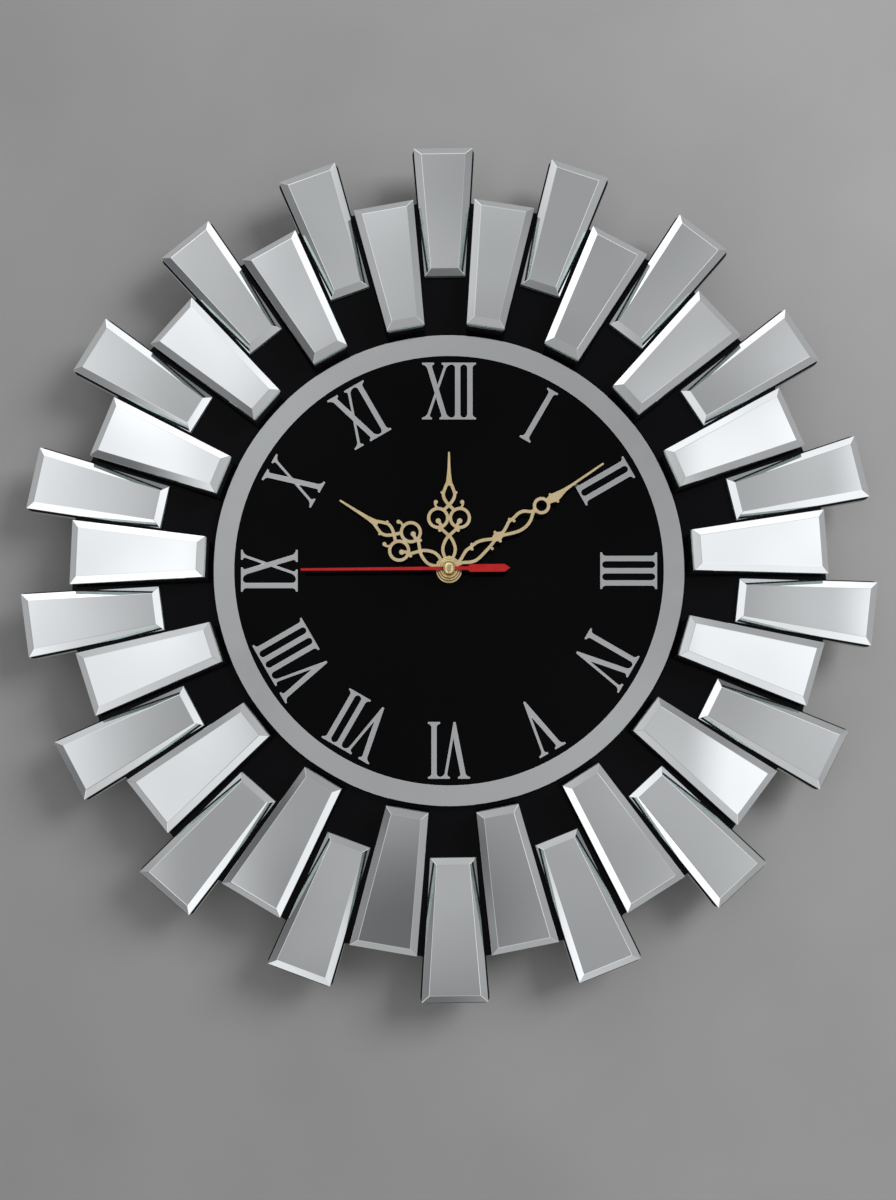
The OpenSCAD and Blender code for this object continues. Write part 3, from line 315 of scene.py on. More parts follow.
def riser_stack():
    made = Finish("riser_stack", (0.012, 0.012, 0.014), 0.3)
    strip_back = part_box("mirror_risers")[0].y + STRIP_T
    limits = {"From Min": strip_back, "From Max": strip_back - 2 * STRIP_T}
    depth = add(made.tree, "ShaderNodeSeparateXYZ")
    place = add(made.tree, "ShaderNodeMapRange", limits)
    bands = add(made.tree, "ShaderNodeValToRGB")
    made.link(made.place, depth.inputs["Vector"])
    made.link(depth.outputs["Y"], place.inputs["Value"])
    made.link(place.outputs["Result"], bands.inputs["Fac"])
    bands.color_ramp.interpolation = "CONSTANT"
    packing, line = bands.color_ramp.elements
    packing.color = grey(PACKING_GREY)
    line.position = LINE_FROM
    line.color = grey(LINE_GREY)
    glass = bands.color_ramp.elements.new(LINE_TO)
    glass.color = (0.05, 0.065, 0.06, 1)
    made.link(bands.outputs["Color"], made.shader.inputs["Base Color"])
    return made.rough(120, 0.2, 0.4).material


RISER = riser_stack()
tell(RISER)

# %% [markdown]
# ## Black glass and lacquer
# The dial is black glass and the board is sprayed lacquer. Both are nearly black with a clear
# reflection. Lacquer has orange peel, a fine swell left by the spray, and its back is only
# stained fibreboard, so the board gets two finishes.

# %% Dial glass, lacquer and fibreboard
def black_glass():
    made = Finish("black_glass", (0.0012, 0.0012, 0.0016), 0.05, **{"Specular IOR Level": 0.07})
    return made.rough(25, 0.03, 0.07).material


def black_lacquer():
    made = Finish("black_lacquer", (0.002, 0.002, 0.0028), 0.14, **{"Specular IOR Level": 0.1})
    made.rough(30, 0.1, 0.2)
    return made.bump(made.mottle(700, detail=2), 0.006 * MM).material


def stained_fibreboard():
    made = Finish("stained_fibreboard", (0.03, 0.027, 0.024), 0.75)
    made.tint(made.mottle(900, detail=6), (0.02, 0.018, 0.016), (0.05, 0.044, 0.038))
    return made.bump(made.mottle(1300, detail=5), 0.03 * MM).rough(60, 0.65, 0.85).material


DIAL = black_glass()
LACQUER = black_lacquer()
FIBREBOARD = stained_fibreboard()
tell(DIAL, LACQUER, FIBREBOARD)

# %% [markdown]
# ## Gold, brass and red paint
# The hands are thin sheet with a satin gold finish: fine streaks from rolling, and tone that
# drifts a little. The cap and nut are polished, and the wheels' pipes are turned, so they are
# duller. The second hand is painted red.

# %% Gold, brass and red
def satin_gold():
    made = Finish("satin_gold", (0.84, 0.67, 0.38), 0.36, metallic=0.8)
    made.tint(made.mottle(140), (0.8, 0.62, 0.33), (0.9, 0.74, 0.46))
    made.rough(300, 0.28, 0.44)
    return made.bump(made.streak(2600, 0.06), 0.006 * MM).material


def polished_brass():
    made = Finish("polished_brass", (0.88, 0.7, 0.37), 0.14, metallic=1.0)
    return made.rough(400, 0.1, 0.2).material


def turned_brass():
    made = Finish("turned_brass", (0.7, 0.54, 0.27), 0.3, metallic=1.0)
    made.tint(made.mottle(500), (0.64, 0.48, 0.22), (0.76, 0.6, 0.32))
    return made.rough(500, 0.22, 0.4).material


def red_paint():
    made = Finish("red_paint", (0.42, 0.01, 0.012), 0.32, **{"Specular IOR Level": 0.3})
    made.tint(made.mottle(200), (0.37, 0.008, 0.009), (0.47, 0.013, 0.015))
    return made.rough(300, 0.24, 0.36).material


GOLD = satin_gold()
BRASS = polished_brass()
PIPE = turned_brass()
RED = red_paint()
tell(GOLD, BRASS, PIPE, RED)

# %% [markdown]
# ## Steel, magnet and copper
# Plated sheet keeps faint rolling marks, screws are blackened, and the rotor's magnet is a dull
# dark metal. The coil is fine wire in close turns, too many to model, so a wave gives their
# relief and also darkens the colour in its low bands: painted shade in the grooves between turns.

# %% Steel, magnet and copper
def plated_steel():
    made = Finish("plated_steel", (0.5, 0.51, 0.52), 0.38, metallic=1.0)
    made.tint(made.mottle(120), (0.46, 0.47, 0.48), (0.55, 0.56, 0.57))
    made.rough(150, 0.33, 0.45)
    return made.bump(made.streak(5000, 0.04), 0.0012 * MM).material


def blackened_steel():
    made = Finish("blackened_steel", (0.1, 0.1, 0.105), 0.35, metallic=1.0)
    return made.rough(400, 0.28, 0.45).material


def dark_magnet():
    made = Finish("dark_magnet", (0.2, 0.2, 0.22), 0.45, metallic=1.0)
    return made.rough(800, 0.35, 0.55).material


def copper_winding():
    made = Finish("copper_winding", (0.62, 0.26, 0.11), 0.35, metallic=1.0)
    wave = {"Scale": 1800, "Distortion": 0.4}
    turns_and_groove_shade = add(made.tree, "ShaderNodeTexWave", wave, bands_direction="X")
    made.link(made.place, turns_and_groove_shade.inputs["Vector"])
    # The darker copper in the wave's low bands is painted shade in the grooves between the turns.
    made.tint(turns_and_groove_shade.outputs["Fac"], (0.4, 0.15, 0.06), (0.72, 0.33, 0.15))
    return made.bump(turns_and_groove_shade.outputs["Fac"], 0.04 * MM).material


STEEL = plated_steel()
DARK_STEEL = blackened_steel()
MAGNET = dark_magnet()
COPPER = copper_winding()
tell(STEEL, DARK_STEEL, MAGNET, COPPER)

# %% [markdown]
# ## Plastics and rubber
# Moulded plastic has a spark-eroded texture, a fine even grain from the tool. One recipe with a
# colour and a depth of grain serves the case, knobs, wheels, chip, switch and rubber.

# %% Plastics and rubber
FINE_GRAIN, CASE_GRAIN, RUBBER_GRAIN = 0.01 * MM, 0.02 * MM, 0.04 * MM
DARKER, LIGHTER = 0.8, 1.15


def moulded_plastic(name, color, grain=FINE_GRAIN):
    dark = tuple(DARKER * part for part in color)
    light = tuple(LIGHTER * part for part in color)
    made = Finish(name, color, 0.5)
    made.tint(made.mottle(260), dark, light)
    made.rough(160, 0.42, 0.6)
    return made.bump(made.mottle(3200, detail=2), grain).material


CASE = moulded_plastic("case_plastic", (0.022, 0.023, 0.026), CASE_GRAIN)
KNOB = moulded_plastic("knob_plastic", (0.085, 0.088, 0.095))
GEAR = moulded_plastic("gear_plastic", (0.74, 0.7, 0.6))
RUBBER = moulded_plastic("black_rubber", (0.018, 0.018, 0.019), RUBBER_GRAIN)
CHIP = moulded_plastic("chip_plastic", (0.014, 0.014, 0.015))
SWITCH = moulded_plastic("switch_plastic", (0.34, 0.045, 0.035))
tell(CASE, KNOB, GEAR, RUBBER, CHIP, SWITCH)

# %% [markdown]
# ## Circuit board, wood and felt
# The circuit board is lacquered green over its tracks. Wood shows bands of growth with fibres
# along them. Felt is a tangle of short hairs with no gloss at all.

# %% Circuit board, wood and felt
def lacquered_circuit():
    made = Finish("lacquered_circuit", (0.03, 0.16, 0.06), 0.3)
    tracks = add(made.tree, "ShaderNodeTexBrick", {"Scale": 600, "Mortar Size": 0.03})
    made.link(made.place, tracks.inputs["Vector"])
    made.tint(tracks.outputs["Fac"], (0.02, 0.13, 0.05), (0.06, 0.24, 0.1))
    return made.rough(300, 0.2, 0.4).material


def pale_wood():
    made = Finish("pale_wood", (0.5, 0.33, 0.17), 0.6)
    growth = {"Scale": 45, "Distortion": 5, "Detail": 3, "Detail Scale": 2}
    bands = add(made.tree, "ShaderNodeTexWave", growth, bands_direction="Z")
    made.link(made.place, bands.inputs["Vector"])
    made.tint(bands.outputs["Fac"], (0.4, 0.24, 0.11), (0.56, 0.38, 0.2))
    made.rough(120, 0.5, 0.72)
    return made.bump(made.streak(1500, 0.04), 0.05 * MM).material


def grey_felt():
    made = Finish("grey_felt", (0.05, 0.054, 0.062), 0.95, **{"Sheen Weight": 0.4})
    made.tint(made.mottle(1400, detail=8), (0.028, 0.03, 0.036), (0.08, 0.085, 0.095))
    return made.bump(made.mottle(2200, detail=8), 0.25 * MM).material


CIRCUIT = lacquered_circuit()
WOOD = pale_wood()
FELT = grey_felt()
tell(CIRCUIT, WOOD, FELT)

# %% [markdown]
# ## Working copies of CAD pieces
# A packed piece is a heap of loose triangles. An edge tool needs real faces, so a copy is
# merged and its flat triangles are joined. The copy then takes the place of the original and
# rides on the same body.

# %% Copy a piece and put it back
SEAM = 0.001 * MM
FLAT_ANGLE = math.radians(0.4)


def only(piece):
    bpy.ops.object.select_all(action="DESELECT")
    piece.select_set(True)
    bpy.context.view_layer.objects.active = piece


def free_copy(node):
    """A copy of a CAD node that rides on nothing yet, with its loose triangles merged."""
    only(nodes[node])
    bpy.ops.object.duplicate()
    piece = bpy.context.object
    piece.parent = None
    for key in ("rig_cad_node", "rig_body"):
        del piece[key]
    piece.name = node + "_finished"
    bpy.ops.object.mode_set(mode="EDIT")
    bpy.ops.mesh.select_all(action="SELECT")
    bpy.ops.mesh.remove_doubles(threshold=SEAM)
    bpy.ops.mesh.dissolve_limited(angle_limit=FLAT_ANGLE)
    bpy.ops.object.mode_set(mode="OBJECT")
    return piece


def stand_in(piece, node):
    """The piece takes the node's place and rides on the node's body."""
    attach(piece, body_of_node[node])
    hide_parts(node)
    return piece


print("faces within", round(math.degrees(FLAT_ANGLE), 2), "degrees are joined")

# %% [markdown]
# ## Breaking the edges
# No real edge is perfectly sharp. A stamped hand, a cut numeral or a moulded case has a tiny
# round or chamfer, and that thin line of light is what makes it look made. A narrow Bevel is
# applied to the copy. The Weighted Normal modifier then keeps the large flat faces flat, which
# matters on anything that mirrors.

# %% The edge breaker
SHARP_ANGLE = math.radians(34)


def break_edges(node, width, segments=2, clamp=True, sharp=SHARP_ANGLE, smooth=SHARP_ANGLE):
    piece = free_copy(node)
    bevel = piece.modifiers.new("broken_edge", "BEVEL")
    bevel.width = width
    bevel.segments = segments
    bevel.limit_method = "ANGLE"
    bevel.angle_limit = sharp
    bevel.use_clamp_overlap = clamp
    bpy.ops.object.modifier_apply(modifier=bevel.name)
    bpy.ops.object.shade_smooth_by_angle(angle=smooth)
    even = piece.modifiers.new("flat_faces", "WEIGHTED_NORMAL")
    even.keep_sharp = True
    bpy.ops.object.modifier_apply(modifier=even.name)
    return stand_in(piece, node)


def paint(piece, *materials):
    piece.data.materials.clear()
    for material in materials:
        piece.data.materials.append(material)


def count_faces(piece):
    print(piece.name, len(piece.data.polygons), "faces")


print("edges over", round(math.degrees(SHARP_ANGLE)), "degrees are broken")

# %% [markdown]
# ## The tiles
# Each tile already has its ground bevel, so only the arrises between the facets are broken.
# Faces are then told apart by the way they look: silvered front, green edge, painted back.

# %% Two rows of tiles
ARRIS = 0.12 * MM
FACET_ANGLE = math.radians(8)
SQUARE_ON = 0.5


def paint_by_facing(piece, front, side, back):
    """Three finishes by which way a face looks: to the viewer, sideways, or to the wall."""
    paint(piece, front, side, back)
    for face in piece.data.polygons:
        to_wall = face.normal.y
        face.material_index = 0 if to_wall < -SQUARE_ON else 2 if to_wall > SQUARE_ON else 1


for row in ("outer_mirrors", "inner_mirrors"):
    tiles = break_edges(row, ARRIS, segments=1, sharp=FACET_ANGLE, smooth=FLAT_ANGLE)
    paint_by_facing(tiles, MIRROR, EDGE, SILVERING)
    count_faces(tiles)

# %% [markdown]
# ## The long sides of the risers
# A bevel beside a riser mirrors the riser's side, and a black side would show there as a dark
# wedge. The long sides are faced with mirror strip, so those bevels stay lighter, and the ends
# that look at the dial keep the black stack. A face is on a long side when it looks round the
# ring of tiles more than towards its centre.

# %% Mirror strip on the risers
LONG_SIDE = 0.7
risers = nodes["mirror_risers"]
paint(risers, RISER, MIRROR)
for face in risers.data.polygons:
    centre, looks = face.center, face.normal
    round_ring = abs(looks.x * centre.z - looks.z * centre.x) / math.hypot(centre.x, centre.z)
    face.material_index = 1 if round_ring > LONG_SIDE else 0
print("riser faces with mirror strip:", sum(face.material_index for face in risers.data.polygons))

# %% [markdown]
# ## The board
# The board is routed to a star that follows the tiles, and sanding leaves a small round on its
# edges. It is lacquered in front and on the edges, and bare behind.

# %% Board
BOARD_ROUND = 0.5 * MM
board = break_edges("back_board", BOARD_ROUND)
paint_by_facing(board, LACQUER, LACQUER, FIBREBOARD)
count_faces(board)

# %% [markdown]
# ## The dial and its silver trim
# The ring and the numerals are cut from thin mirrored sheet. Their edges are cut by a beam that
# leaves a small melted round, which shows as a bright outline on the black glass.

# %% Dial, ring and numerals
CUT_ROUND = 0.22 * MM
DIAL_ROUND = 0.3 * MM
dial = break_edges("dial_glass", DIAL_ROUND)
paint(dial, DIAL)
count_faces(dial)
trims = ["dial_ring"] + [f"numeral_{hour}" for hour in range(1, 13)]
for node in trims:
    trim = break_edges(node, CUT_ROUND, clamp=False)
    paint(trim, TRIM)
    count_faces(trim)

# %% [markdown]
# ## The gold hands
# Stamping rolls the edge of the sheet over on the upper side. The same narrow round is used on
# all the gold hands.

# %% Gold hands
ROLLED_EDGE = 0.1 * MM
for node in ("alarm_hand", "hour_hand", "minute_hand"):
    hand = break_edges(node, ROLLED_EDGE, clamp=False)
    paint(hand, GOLD)
    count_faces(hand)

# %% [markdown]
# ## The collets
# Each gold hand is pressed onto its pipe with a turned brass collet, and these show as rings
# round the cap. A collet is a short profile spun round the hand axis: the points of a small
# circle are moved into place one by one, and the Spin tool turns them into a body. A point's
# second number is its rise, as a share of the collet's.

# %% Spin the collets
COLLET_RISE = 0.35 * MM
COLLET_STEPS = 72
BEAD_W = 0.9 * MM


def collet(node, outer, bore):
    """A turned ring on a hand's hub: a rounded outer bead and a lower flat inside it."""
    face_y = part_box(node)[0].y
    bead = outer - BEAD_W
    profile = [
        (bore, 0.0), (outer, 0.0), (outer, 0.6), (outer - 0.2 * MM, 0.9), (outer - 0.5 * MM, 1.0),
        (bead, 0.8), (bead - 0.15 * MM, 0.35), (bore, 0.3),
    ]
    bpy.ops.object.select_all(action="DESELECT")
    bpy.ops.mesh.primitive_circle_add(vertices=len(profile), radius=MM)
    ring = bpy.context.object
    ring.name = node + "_collet"
    for vertex, (radius, rise) in zip(ring.data.vertices, profile):
        vertex.co = (radius, face_y - rise * COLLET_RISE, 0)
    bpy.ops.object.mode_set(mode="EDIT")
    bpy.ops.mesh.select_all(action="SELECT")
    bpy.ops.mesh.spin(steps=COLLET_STEPS, angle=2 * math.pi, center=(0, 0, 0), axis=(0, 1, 0))
    bpy.ops.mesh.select_all(action="SELECT")
    bpy.ops.mesh.remove_doubles(threshold=SEAM)
    bpy.ops.mesh.normals_make_consistent(inside=False)
    bpy.ops.object.mode_set(mode="OBJECT")
    bpy.ops.object.shade_smooth_by_angle(angle=SHARP_ANGLE)
    paint(ring, BRASS)
    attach(ring, body_of_node[node])
    count_faces(ring)


collet("alarm_hand", 7.4 * MM, 4.6 * MM)
collet("hour_hand", 6.2 * MM, 3.6 * MM)
collet("minute_hand", 5.0 * MM, 2.4 * MM)

# %% [markdown]
# ## Second hand, cap and nut
# The second hand is painted after stamping, which fills its edges a little. The cap and the nut
# are turned and polished, so their rounds are larger.

# %% Second hand and fittings
CAP_ROUND, NUT_ROUND = 0.15 * MM, 0.3 * MM
second = break_edges("second_hand", ROLLED_EDGE, clamp=False)
paint(second, RED)
count_faces(second)
for node, width in (("hand_cap", CAP_ROUND), ("fixing_nut", NUT_ROUND)):
    fitting = break_edges(node, width)
    paint(fitting, BRASS)
    count_faces(fitting)

# %% [markdown]
# ## The movement, hanger and feet seen from behind
# Moulded cases and sawn wood have larger rounds than stamped metal. The felt pads are cut from
# sheet, so their rims are soft. Each row gives a piece, its round in millimetres, its finish
# and its slot.

# %% Case, knobs, hanger, feet
REAR_EDGES = (
    ("movement_case", 0.25, CASE, "case_plastic"),
    ("rear_cover", 0.2, CASE, "case_plastic"),
    ("time_knob", 0.15, KNOB, "case_plastic"),
    ("alarm_knob", 0.15, KNOB, "case_plastic"),
    ("alarm_switch", 0.15, SWITCH, "switch_red"),
    ("hanger_plate", 0.15, STEEL, "steel"),
    ("hanger_block", 0.5, WOOD, "pale_wood"),
    ("wall_spacers", 0.6, WOOD, "pale_wood"),
    ("spacer_pads", 0.4, FELT, "grey_felt"),
)
for node, width, material, slot in REAR_EDGES:
    piece = break_edges(node, width * MM)
    paint(piece, material)
    count_faces(piece)

# %% [markdown]
# ## The cell
# A cell is a steel can in a printed sleeve. The sleeve is shrunk over the rims, a recessed ring
# insulates the button, and the flat end shows the bare can. It is modelled from a cylinder: the
# ends are inset and sunk, the button is drawn out, and the rims are bevelled.

# %% Model the cell
CELL_SIDES = 64
CELL_BUTTON_LEN = 1.1 * MM
CELL_BUTTON_R = 2.7 * MM
CELL_SLEEVE = 0.9 * MM
CELL_SINK = 0.3 * MM
RIM_ROUND = 0.25 * MM
RIM_STEPS = 3
END_ON = 0.9


def choose(piece, test):
    """In edit mode, with only the faces selected that pass a test."""
    bpy.ops.object.mode_set(mode="EDIT")
    bpy.ops.mesh.select_mode(type="FACE")
    bpy.ops.mesh.select_all(action="DESELECT")
    bpy.ops.object.mode_set(mode="OBJECT")
    for face in piece.data.polygons:
        face.select = test(face)
    bpy.ops.object.mode_set(mode="EDIT")


def draw_out(reach):
    """Extrude what is selected along the cell's axis."""
    bpy.ops.mesh.extrude_region_move(TRANSFORM_OT_translate={"value": (reach, 0, 0)})


def build_cell(low, high):
    radius = (high.z - low.z) / 2
    body_len = high.x - low.x - CELL_BUTTON_LEN
    bpy.ops.object.select_all(action="DESELECT")
    bpy.ops.mesh.primitive_cylinder_add(
        vertices=CELL_SIDES, radius=radius, depth=body_len, rotation=(0, math.radians(90), 0),
        location=(low.x + body_len / 2, (low.y + high.y) / 2, (low.z + high.z) / 2),
    )
    cell = bpy.context.object
    cell.name = "battery_finished"
    bpy.ops.object.transform_apply(location=True, rotation=True, scale=True)
    choose(cell, lambda face: abs(face.normal.x) > END_ON)
    bpy.ops.mesh.inset(thickness=CELL_SLEEVE)
    choose(cell, lambda face: face.normal.x > END_ON and len(face.vertices) > 4)
    draw_out(-CELL_SINK)
    bpy.ops.mesh.inset(thickness=radius - CELL_SLEEVE - CELL_BUTTON_R)
    draw_out(CELL_SINK + CELL_BUTTON_LEN)
    choose(cell, lambda face: face.normal.x < -END_ON and len(face.vertices) > 4)
    draw_out(CELL_SINK)
    bpy.ops.mesh.inset(thickness=CELL_SLEEVE)
    bpy.ops.object.mode_set(mode="OBJECT")
    rims = cell.modifiers.new("shrunk_rims", "BEVEL")
    rims.width = RIM_ROUND
    rims.segments = RIM_STEPS
    rims.limit_method = "ANGLE"
    rims.angle_limit = SHARP_ANGLE
    bpy.ops.object.modifier_apply(modifier=rims.name)
    bpy.ops.object.shade_smooth_by_angle(angle=SHARP_ANGLE)
    return cell


cell_low, cell_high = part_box("battery")
cell = build_cell(cell_low, cell_high)
count_faces(cell)

# %% [markdown]
# ## The cell's sleeve
# The sleeve is a plain blue-grey with a pale band at the button end, under a thin clear coat.
# Inside the sleeve's rims the ends are bare steel, told apart by their distance from the axis.

# %% Sleeve and bare ends
BAND_LEN = 11 * MM
BAND_BLUR = 0.2 * MM
RIM_INSIDE = 0.05 * MM
SLEEVE_BLUE, BAND_PALE = (0.05, 0.075, 0.11), (0.6, 0.62, 0.6)


def cell_sleeve(edge):
    """Printed sleeve with a pale band that begins at one place along the cell."""
    made = Finish("cell_sleeve", SLEEVE_BLUE, 0.3, **{"Coat Weight": 0.3})
    along = add(made.tree, "ShaderNodeSeparateXYZ")
    band = add(made.tree, "ShaderNodeMapRange", {"From Min": edge, "From Max": edge + BAND_BLUR})
    made.link(made.place, along.inputs["Vector"])
    made.link(along.outputs["X"], band.inputs["Value"])
    made.tint(band.outputs["Result"], SLEEVE_BLUE, BAND_PALE)
    return made.rough(200, 0.22, 0.38).material


axis_y, axis_z = (cell_low.y + cell_high.y) / 2, (cell_low.z + cell_high.z) / 2
bare_radius = (cell_high.z - cell_low.z) / 2 - CELL_SLEEVE - RIM_INSIDE
paint(cell, cell_sleeve(cell_high.x - BAND_LEN), STEEL)
for face in cell.data.polygons:
    reach = math.hypot(face.center.y - axis_y, face.center.z - axis_z)
    face.material_index = 1 if reach < bare_radius else 0
stand_in(cell, "battery")
print("bare steel faces:", sum(face.material_index for face in cell.data.polygons))

# %% [markdown]
# ## Screws with a cross recess
# The wood screws that hold the hanger are countersunk. A driver needs something to turn, so a
# cross is cut into each head: two thin bars, taken away one after the other with a Boolean.

# %% Hanger screws
RECESS_LONG, RECESS_WIDE, RECESS_DEEP = 3.0 * MM, 0.7 * MM, 0.7 * MM
screws = free_copy("hanger_screws")
low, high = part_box("hanger_screws")
head_r = (high.z - low.z) / 2
for head_x in (low.x + head_r, high.x - head_r):
    for wide, tall in ((RECESS_LONG, RECESS_WIDE), (RECESS_WIDE, RECESS_LONG)):
        bpy.ops.object.select_all(action="DESELECT")
        bpy.ops.mesh.primitive_cube_add(size=1, location=(head_x, high.y, (low.z + high.z) / 2))
        bar = bpy.context.object
        bar.scale = (wide, 2 * RECESS_DEEP, tall)
        bpy.ops.object.transform_apply(location=True, rotation=True, scale=True)
        only(screws)
        cut = screws.modifiers.new("cross", "BOOLEAN")
        cut.operation = "DIFFERENCE"
        cut.object = bar
        bpy.ops.object.modifier_apply(modifier=cut.name)
        only(bar)
        bpy.ops.object.delete()
only(screws)
bpy.ops.object.shade_smooth_by_angle(angle=SHARP_ANGLE)
paint(screws, DARK_STEEL)
stand_in(screws, "hanger_screws")
count_faces(screws)

# %% [markdown]
# ## Everything else keeps its CAD shape
# Wheels, pipes, electrics and fixings are right as they are, so they only take a finish.

# %% Finishes on the CAD pieces
CAD_FINISH = {
    BRASS: ["metal_washer", "buzzer"],
    RUBBER: ["rubber_washer"],
    GEAR: ["gear_plate", "step_wheel", "third_wheel", "motion_wheel", "alarm_pinion", "seconds_wheel"],
    PIPE: ["centre_wheel", "hour_wheel", "alarm_wheel"],
    MAGNET: ["rotor"],
    STEEL: ["plate_screws", "stator", "quartz_crystal", "positive_contact", "negative_contact"],
    COPPER: ["coil"],
    CIRCUIT: ["circuit_board"],
    CHIP: ["chip"],
}
for material, group in CAD_FINISH.items():
    for node in group:
        paint(nodes[node], material)
print("CAD pieces dressed:", sum(len(group) for group in CAD_FINISH.values()))

# %% [markdown]
# ## The wall
# The clock hangs, so a grey wall takes the place of a floor and catches the shadows. It is
# solid only to the camera's own rays from the front. Views from behind then show the movement,
# and light from the rear lamp passes.

# %% Wall
WALL_GREY = 0.3
WALL_DRIFT = 0.06
WALL_SIZE = 8
WALL_GAP = 0.3 * MM


def wall_paint():
    """Matt paint that is clear to every ray but the camera's from the front."""
    made = Finish("wall_paint", (WALL_GREY,) * 3, 0.9)
    dark, light = (1 - WALL_DRIFT) * WALL_GREY, (1 + WALL_DRIFT) * WALL_GREY
    made.tint(made.mottle(7, detail=9), (dark,) * 3, (light,) * 3)
    made.rough(30, 0.85, 0.95)
    path = add(made.tree, "ShaderNodeLightPath")
    sides = add(made.tree, "ShaderNodeNewGeometry")
    seen = add(made.tree, "ShaderNodeMath", operation="SUBTRACT", use_clamp=True)
    clear = add(made.tree, "ShaderNodeBsdfTransparent")
    mix = add(made.tree, "ShaderNodeMixShader")
    made.link(path.outputs["Is Camera Ray"], seen.inputs[0])
    made.link(sides.outputs["Backfacing"], seen.inputs[1])
    made.link(seen.outputs["Value"], mix.inputs["Fac"])
    made.link(clear.outputs["BSDF"], mix.inputs[1])
    made.link(made.shader.outputs["BSDF"], mix.inputs[2])
    made.link(mix.outputs["Shader"], made.tree.nodes["Material Output"].inputs["Surface"])
    return made.material


bpy.ops.object.select_all(action="DESELECT")
bpy.ops.mesh.primitive_plane_add(size=WALL_SIZE, location=(0, WALL_GAP, 0), rotation=UPRIGHT)
wall = bpy.context.object
wall.name = "wall"
wall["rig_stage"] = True
paint(wall, wall_paint())
print("wall:", WALL_SIZE, "m wide, grey", WALL_GREY)

# %% [markdown]
# ## Light for mirrors
# A mirror shows its surroundings, so the light is designed by what the tiles should show. It is
# drawn on one large glowing screen in front of the clock. Real lamps and cards could do this
# too, but soft steps on a screen are quicker to tune. The helper below draws them as nodes: a
# soft step, a product, a sum, and a value that differs from left to right.

# %% A sketch of light on the screen
SIDE_BLEND = 0.4


class ScreenSketch:
    """Values over the screen, by metres across and up, made from small math nodes."""

    def __init__(self, tree):
        self.tree = tree
        self.place = add(tree, "ShaderNodeTexCoord").outputs["Object"]
        axes = add(tree, "ShaderNodeSeparateXYZ")
        tree.links.new(self.place, axes.inputs["Vector"])
        self.across, self.up = axes.outputs["X"], axes.outputs["Z"]
        self.aside = self.combine("ABSOLUTE", self.across, 0.0)

    def combine(self, operation, first, second):
        node = add(self.tree, "ShaderNodeMath", operation=operation)
        self.tree.links.new(first, node.inputs[0])
        if isinstance(second, float):
            node.inputs[1].default_value = second
        else:
            self.tree.links.new(second, node.inputs[1])
        return node.outputs["Value"]

    def product(self, first, *others):
        for other in others:
            first = self.combine("MULTIPLY", first, other)
        return first

    def total(self, first, *others):
        for other in others:
            first = self.combine("ADD", first, other)
        return first

    def step(self, value, low, high, start, stop):
        """A soft step: from start to stop while the value goes from low to high."""
        limits = {"From Min": low, "From Max": high, "To Min": start, "To Max": stop}
        node = add(self.tree, "ShaderNodeMapRange", limits, interpolation_type="SMOOTHSTEP")
        self.tree.links.new(value, node.inputs["Value"])
        return node.outputs["Result"]

    def by_side(self, left, right):
        return self.step(self.across, -SIDE_BLEND, SIDE_BLEND, left, right)


print("steps of a sketch:", ", ".join(name for name in vars(ScreenSketch) if not name.startswith("_")))

# %% [markdown]
# ## Panels and glow
# Two tall soft panels stand to the left and right. The leaning inner tiles at the sides look
# straight at them and go white, while the flat outer tiles look at the dim room between. The
# right panel is brighter and reaches lower. A weaker glow spreads round both, and the upper
# left corner is lighter than the upper right.

# %% Panels and glow
LEFT_PANEL, RIGHT_PANEL = 0.24, 0.46
LEFT_GLOW, RIGHT_GLOW = 0.36, 0.22
CORNER_LIGHT, PATCH_LIGHT = 0.15, 0.11


def side_panels(sketch):
    inner = sketch.total(sketch.aside, sketch.by_side(0.0, 0.1))
    raised = sketch.total(sketch.up, sketch.by_side(-1.4, 0.0))
    return sketch.product(
        sketch.step(inner, 1.66, 1.9, 0.0, 1.0),
        sketch.step(sketch.aside, 2.45, 2.75, 1.0, 0.0),
        sketch.step(sketch.up, 1.5, 2.3, 1.0, 0.0),
        sketch.step(raised, -1.6, -0.9, 0.0, 1.0),
        sketch.by_side(LEFT_PANEL, RIGHT_PANEL),
    )


def side_glow(sketch):
    return sketch.product(
        sketch.step(sketch.aside, 1.0, 1.7, 0.0, 1.0),
        sketch.step(sketch.aside, 2.8, 3.5, 1.0, 0.0),
        sketch.by_side(LEFT_GLOW, RIGHT_GLOW),
    )


def upper_light(sketch):
    """A light upper left corner, a darker upper right one and a pale patch above the middle."""
    corner = sketch.product(
        sketch.step(sketch.up, 1.2, 2.4, 0.0, CORNER_LIGHT),
        sketch.step(sketch.across, -1.0, 0.3, 1.0, -0.3),
    )
    patch = sketch.product(
        sketch.step(sketch.up, 2.1, 2.7, 0.0, PATCH_LIGHT),
        sketch.step(sketch.aside, 0.5, 0.8, 1.0, 0.0),
    )
    return sketch.total(corner, patch)


print("panels:", LEFT_PANEL, "left and", RIGHT_PANEL, "right, above the room's level")

# %% [markdown]
# ## Floor, drift and far edges
# Below the middle the room's floor is dim, which greys the lowest tiles. Slow noise makes all of
# it drift, as a real room does. The steep bevels look much further out than the tiles' faces,
# to a bright ceiling, a bright strip of floor and darker sides. These far edges are there for
# reflections only, so that they don't light the wall.

# %% Floor, drift and far edges
FLOOR_SHADE = 0.26
FLOOR_CENTRE = -0.3
CEILING_LIGHT, FLOOR_LIGHT = 0.6, 0.4
LEFT_SHADE, RIGHT_SHADE = 0.22, 0.04


def dim_floor(sketch):
    middle = sketch.combine("ABSOLUTE", sketch.total(sketch.across, -FLOOR_CENTRE), 0.0)
    return sketch.product(
        sketch.step(sketch.up, -1.6, -0.9, 1.0, 0.0),
        sketch.step(middle, 0.3, 1.1, FLOOR_SHADE, 0.0),
    )


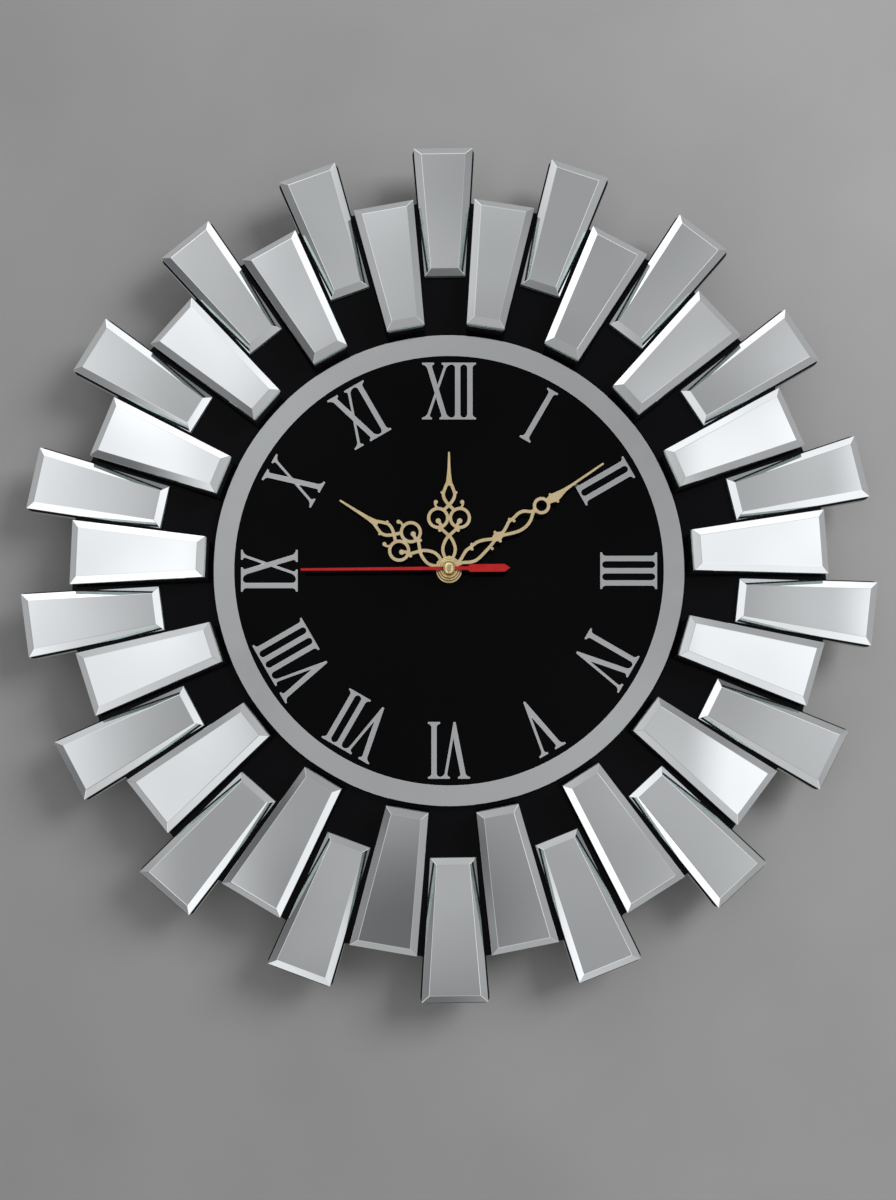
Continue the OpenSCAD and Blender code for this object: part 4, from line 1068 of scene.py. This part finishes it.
def slow_drift(sketch):
    noise = add(sketch.tree, "ShaderNodeTexNoise", {"Scale": 1.1, "Detail": 1.5})
    sketch.tree.links.new(sketch.place, noise.inputs["Vector"])
    return sketch.step(noise.outputs["Fac"], NOISE_LOW, NOISE_HIGH, 0.86, 1.14)


def far_edges(sketch):
    ceiling = sketch.product(
        sketch.step(sketch.up, 3.2, 4.0, 0.0, CEILING_LIGHT),
        sketch.step(sketch.aside, 2.6, 3.7, 1.0, 0.0),
    )
    floor = sketch.product(
        sketch.step(sketch.up, -2.4, -1.7, FLOOR_LIGHT, 0.0),
        sketch.step(sketch.up, -4.6, -3.8, 0.0, 1.0),
        sketch.step(sketch.aside, 2.6, 3.8, 1.0, 0.0),
    )
    sides = sketch.product(
        sketch.step(sketch.aside, 2.9, 3.6, 0.0, 1.0),
        sketch.by_side(LEFT_SHADE, RIGHT_SHADE),
        sketch.step(sketch.up, 3.0, 4.0, 1.0, 0.0),
    )
    return sketch.combine("SUBTRACT", sketch.total(ceiling, floor), sides)


print("far edges: ceiling", CEILING_LIGHT, "and floor", FLOOR_LIGHT, "above the room's level")

# %% [markdown]
# ## The screen
# The zones are added up into one strength for an Emission shader. The camera's own rays pass
# through the screen, so it never hides the clock.

# %% Screen
ROOM_LEVEL = 0.42
SCREEN_SIZE = 16.0
SCREEN_Y, SCREEN_Z = -4.0, 0.3


def screen_paint():
    material = bpy.data.materials.new("studio_screen")
    material.use_nodes = True
    tree = material.node_tree
    tree.nodes.clear()
    sketch = ScreenSketch(tree)
    path = add(tree, "ShaderNodeLightPath")
    lit = sketch.total(side_panels(sketch), side_glow(sketch), upper_light(sketch), ROOM_LEVEL)
    room = sketch.product(sketch.combine("SUBTRACT", lit, dim_floor(sketch)), slow_drift(sketch))
    mirrored = sketch.product(far_edges(sketch), path.outputs["Is Glossy Ray"])
    lamp = add(tree, "ShaderNodeEmission")
    clear = add(tree, "ShaderNodeBsdfTransparent")
    seen = add(tree, "ShaderNodeMixShader")
    out = add(tree, "ShaderNodeOutputMaterial")
    tree.links.new(sketch.total(room, mirrored), lamp.inputs["Strength"])
    tree.links.new(path.outputs["Is Camera Ray"], seen.inputs["Fac"])
    tree.links.new(lamp.outputs["Emission"], seen.inputs[1])
    tree.links.new(clear.outputs["BSDF"], seen.inputs[2])
    tree.links.new(seen.outputs["Shader"], out.inputs["Surface"])
    return material


bpy.ops.object.select_all(action="DESELECT")
bpy.ops.mesh.primitive_plane_add(size=1, location=(0, SCREEN_Y, SCREEN_Z), rotation=UPRIGHT)
screen = bpy.context.object
screen.name = "studio_screen"
screen.scale = (SCREEN_SIZE, SCREEN_SIZE, 1)
bpy.ops.object.transform_apply(location=True, rotation=True, scale=True)
paint(screen, screen_paint())
screen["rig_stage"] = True
print("screen:", SCREEN_SIZE, "m wide, made of", len(screen.active_material.node_tree.nodes), "nodes")

# %% [markdown]
# ## Room and lamps
# An even grey world is what shows past the screen. A key lamp at the upper right shapes the
# shadows on the wall, and a rear lamp lights the movement in views from behind. Both are hidden
# from reflections, or the tiles would show them as white squares.

# %% Room and lamps
world = bpy.data.worlds.new("room")
world.use_nodes = True
world.node_tree.nodes["Background"].inputs["Color"].default_value = grey(ROOM_LEVEL)
bpy.context.scene.world = world


def soft_lamp(name, place, size, watts):
    """A square lamp that faces the dial's centre and doesn't show in the tiles."""
    bpy.ops.object.light_add(type="AREA", location=place)
    lamp = bpy.context.object
    lamp.name = name
    lamp.rotation_euler = (-lamp.location).to_track_quat("-Z", "Y").to_euler()
    lamp.data.size = size
    lamp.data.energy = watts
    lamp.visible_glossy = False
    lamp.visible_camera = False
    print(name, watts, "W from", place)


soft_lamp("key_lamp", (1.2, -1.1, 0.7), 0.8, 25)
soft_lamp("rear_lamp", (1.3, 2.2, 1.3), 1.0, 70)

# %% [markdown]
# ## Measure and finish
# Dressing must not change the clock's size, so the box of the finished pieces is printed.

# %% Measure and finish
low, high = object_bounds()
print("visual box", [round(v, 4) for v in low], [round(v, 4) for v in high])
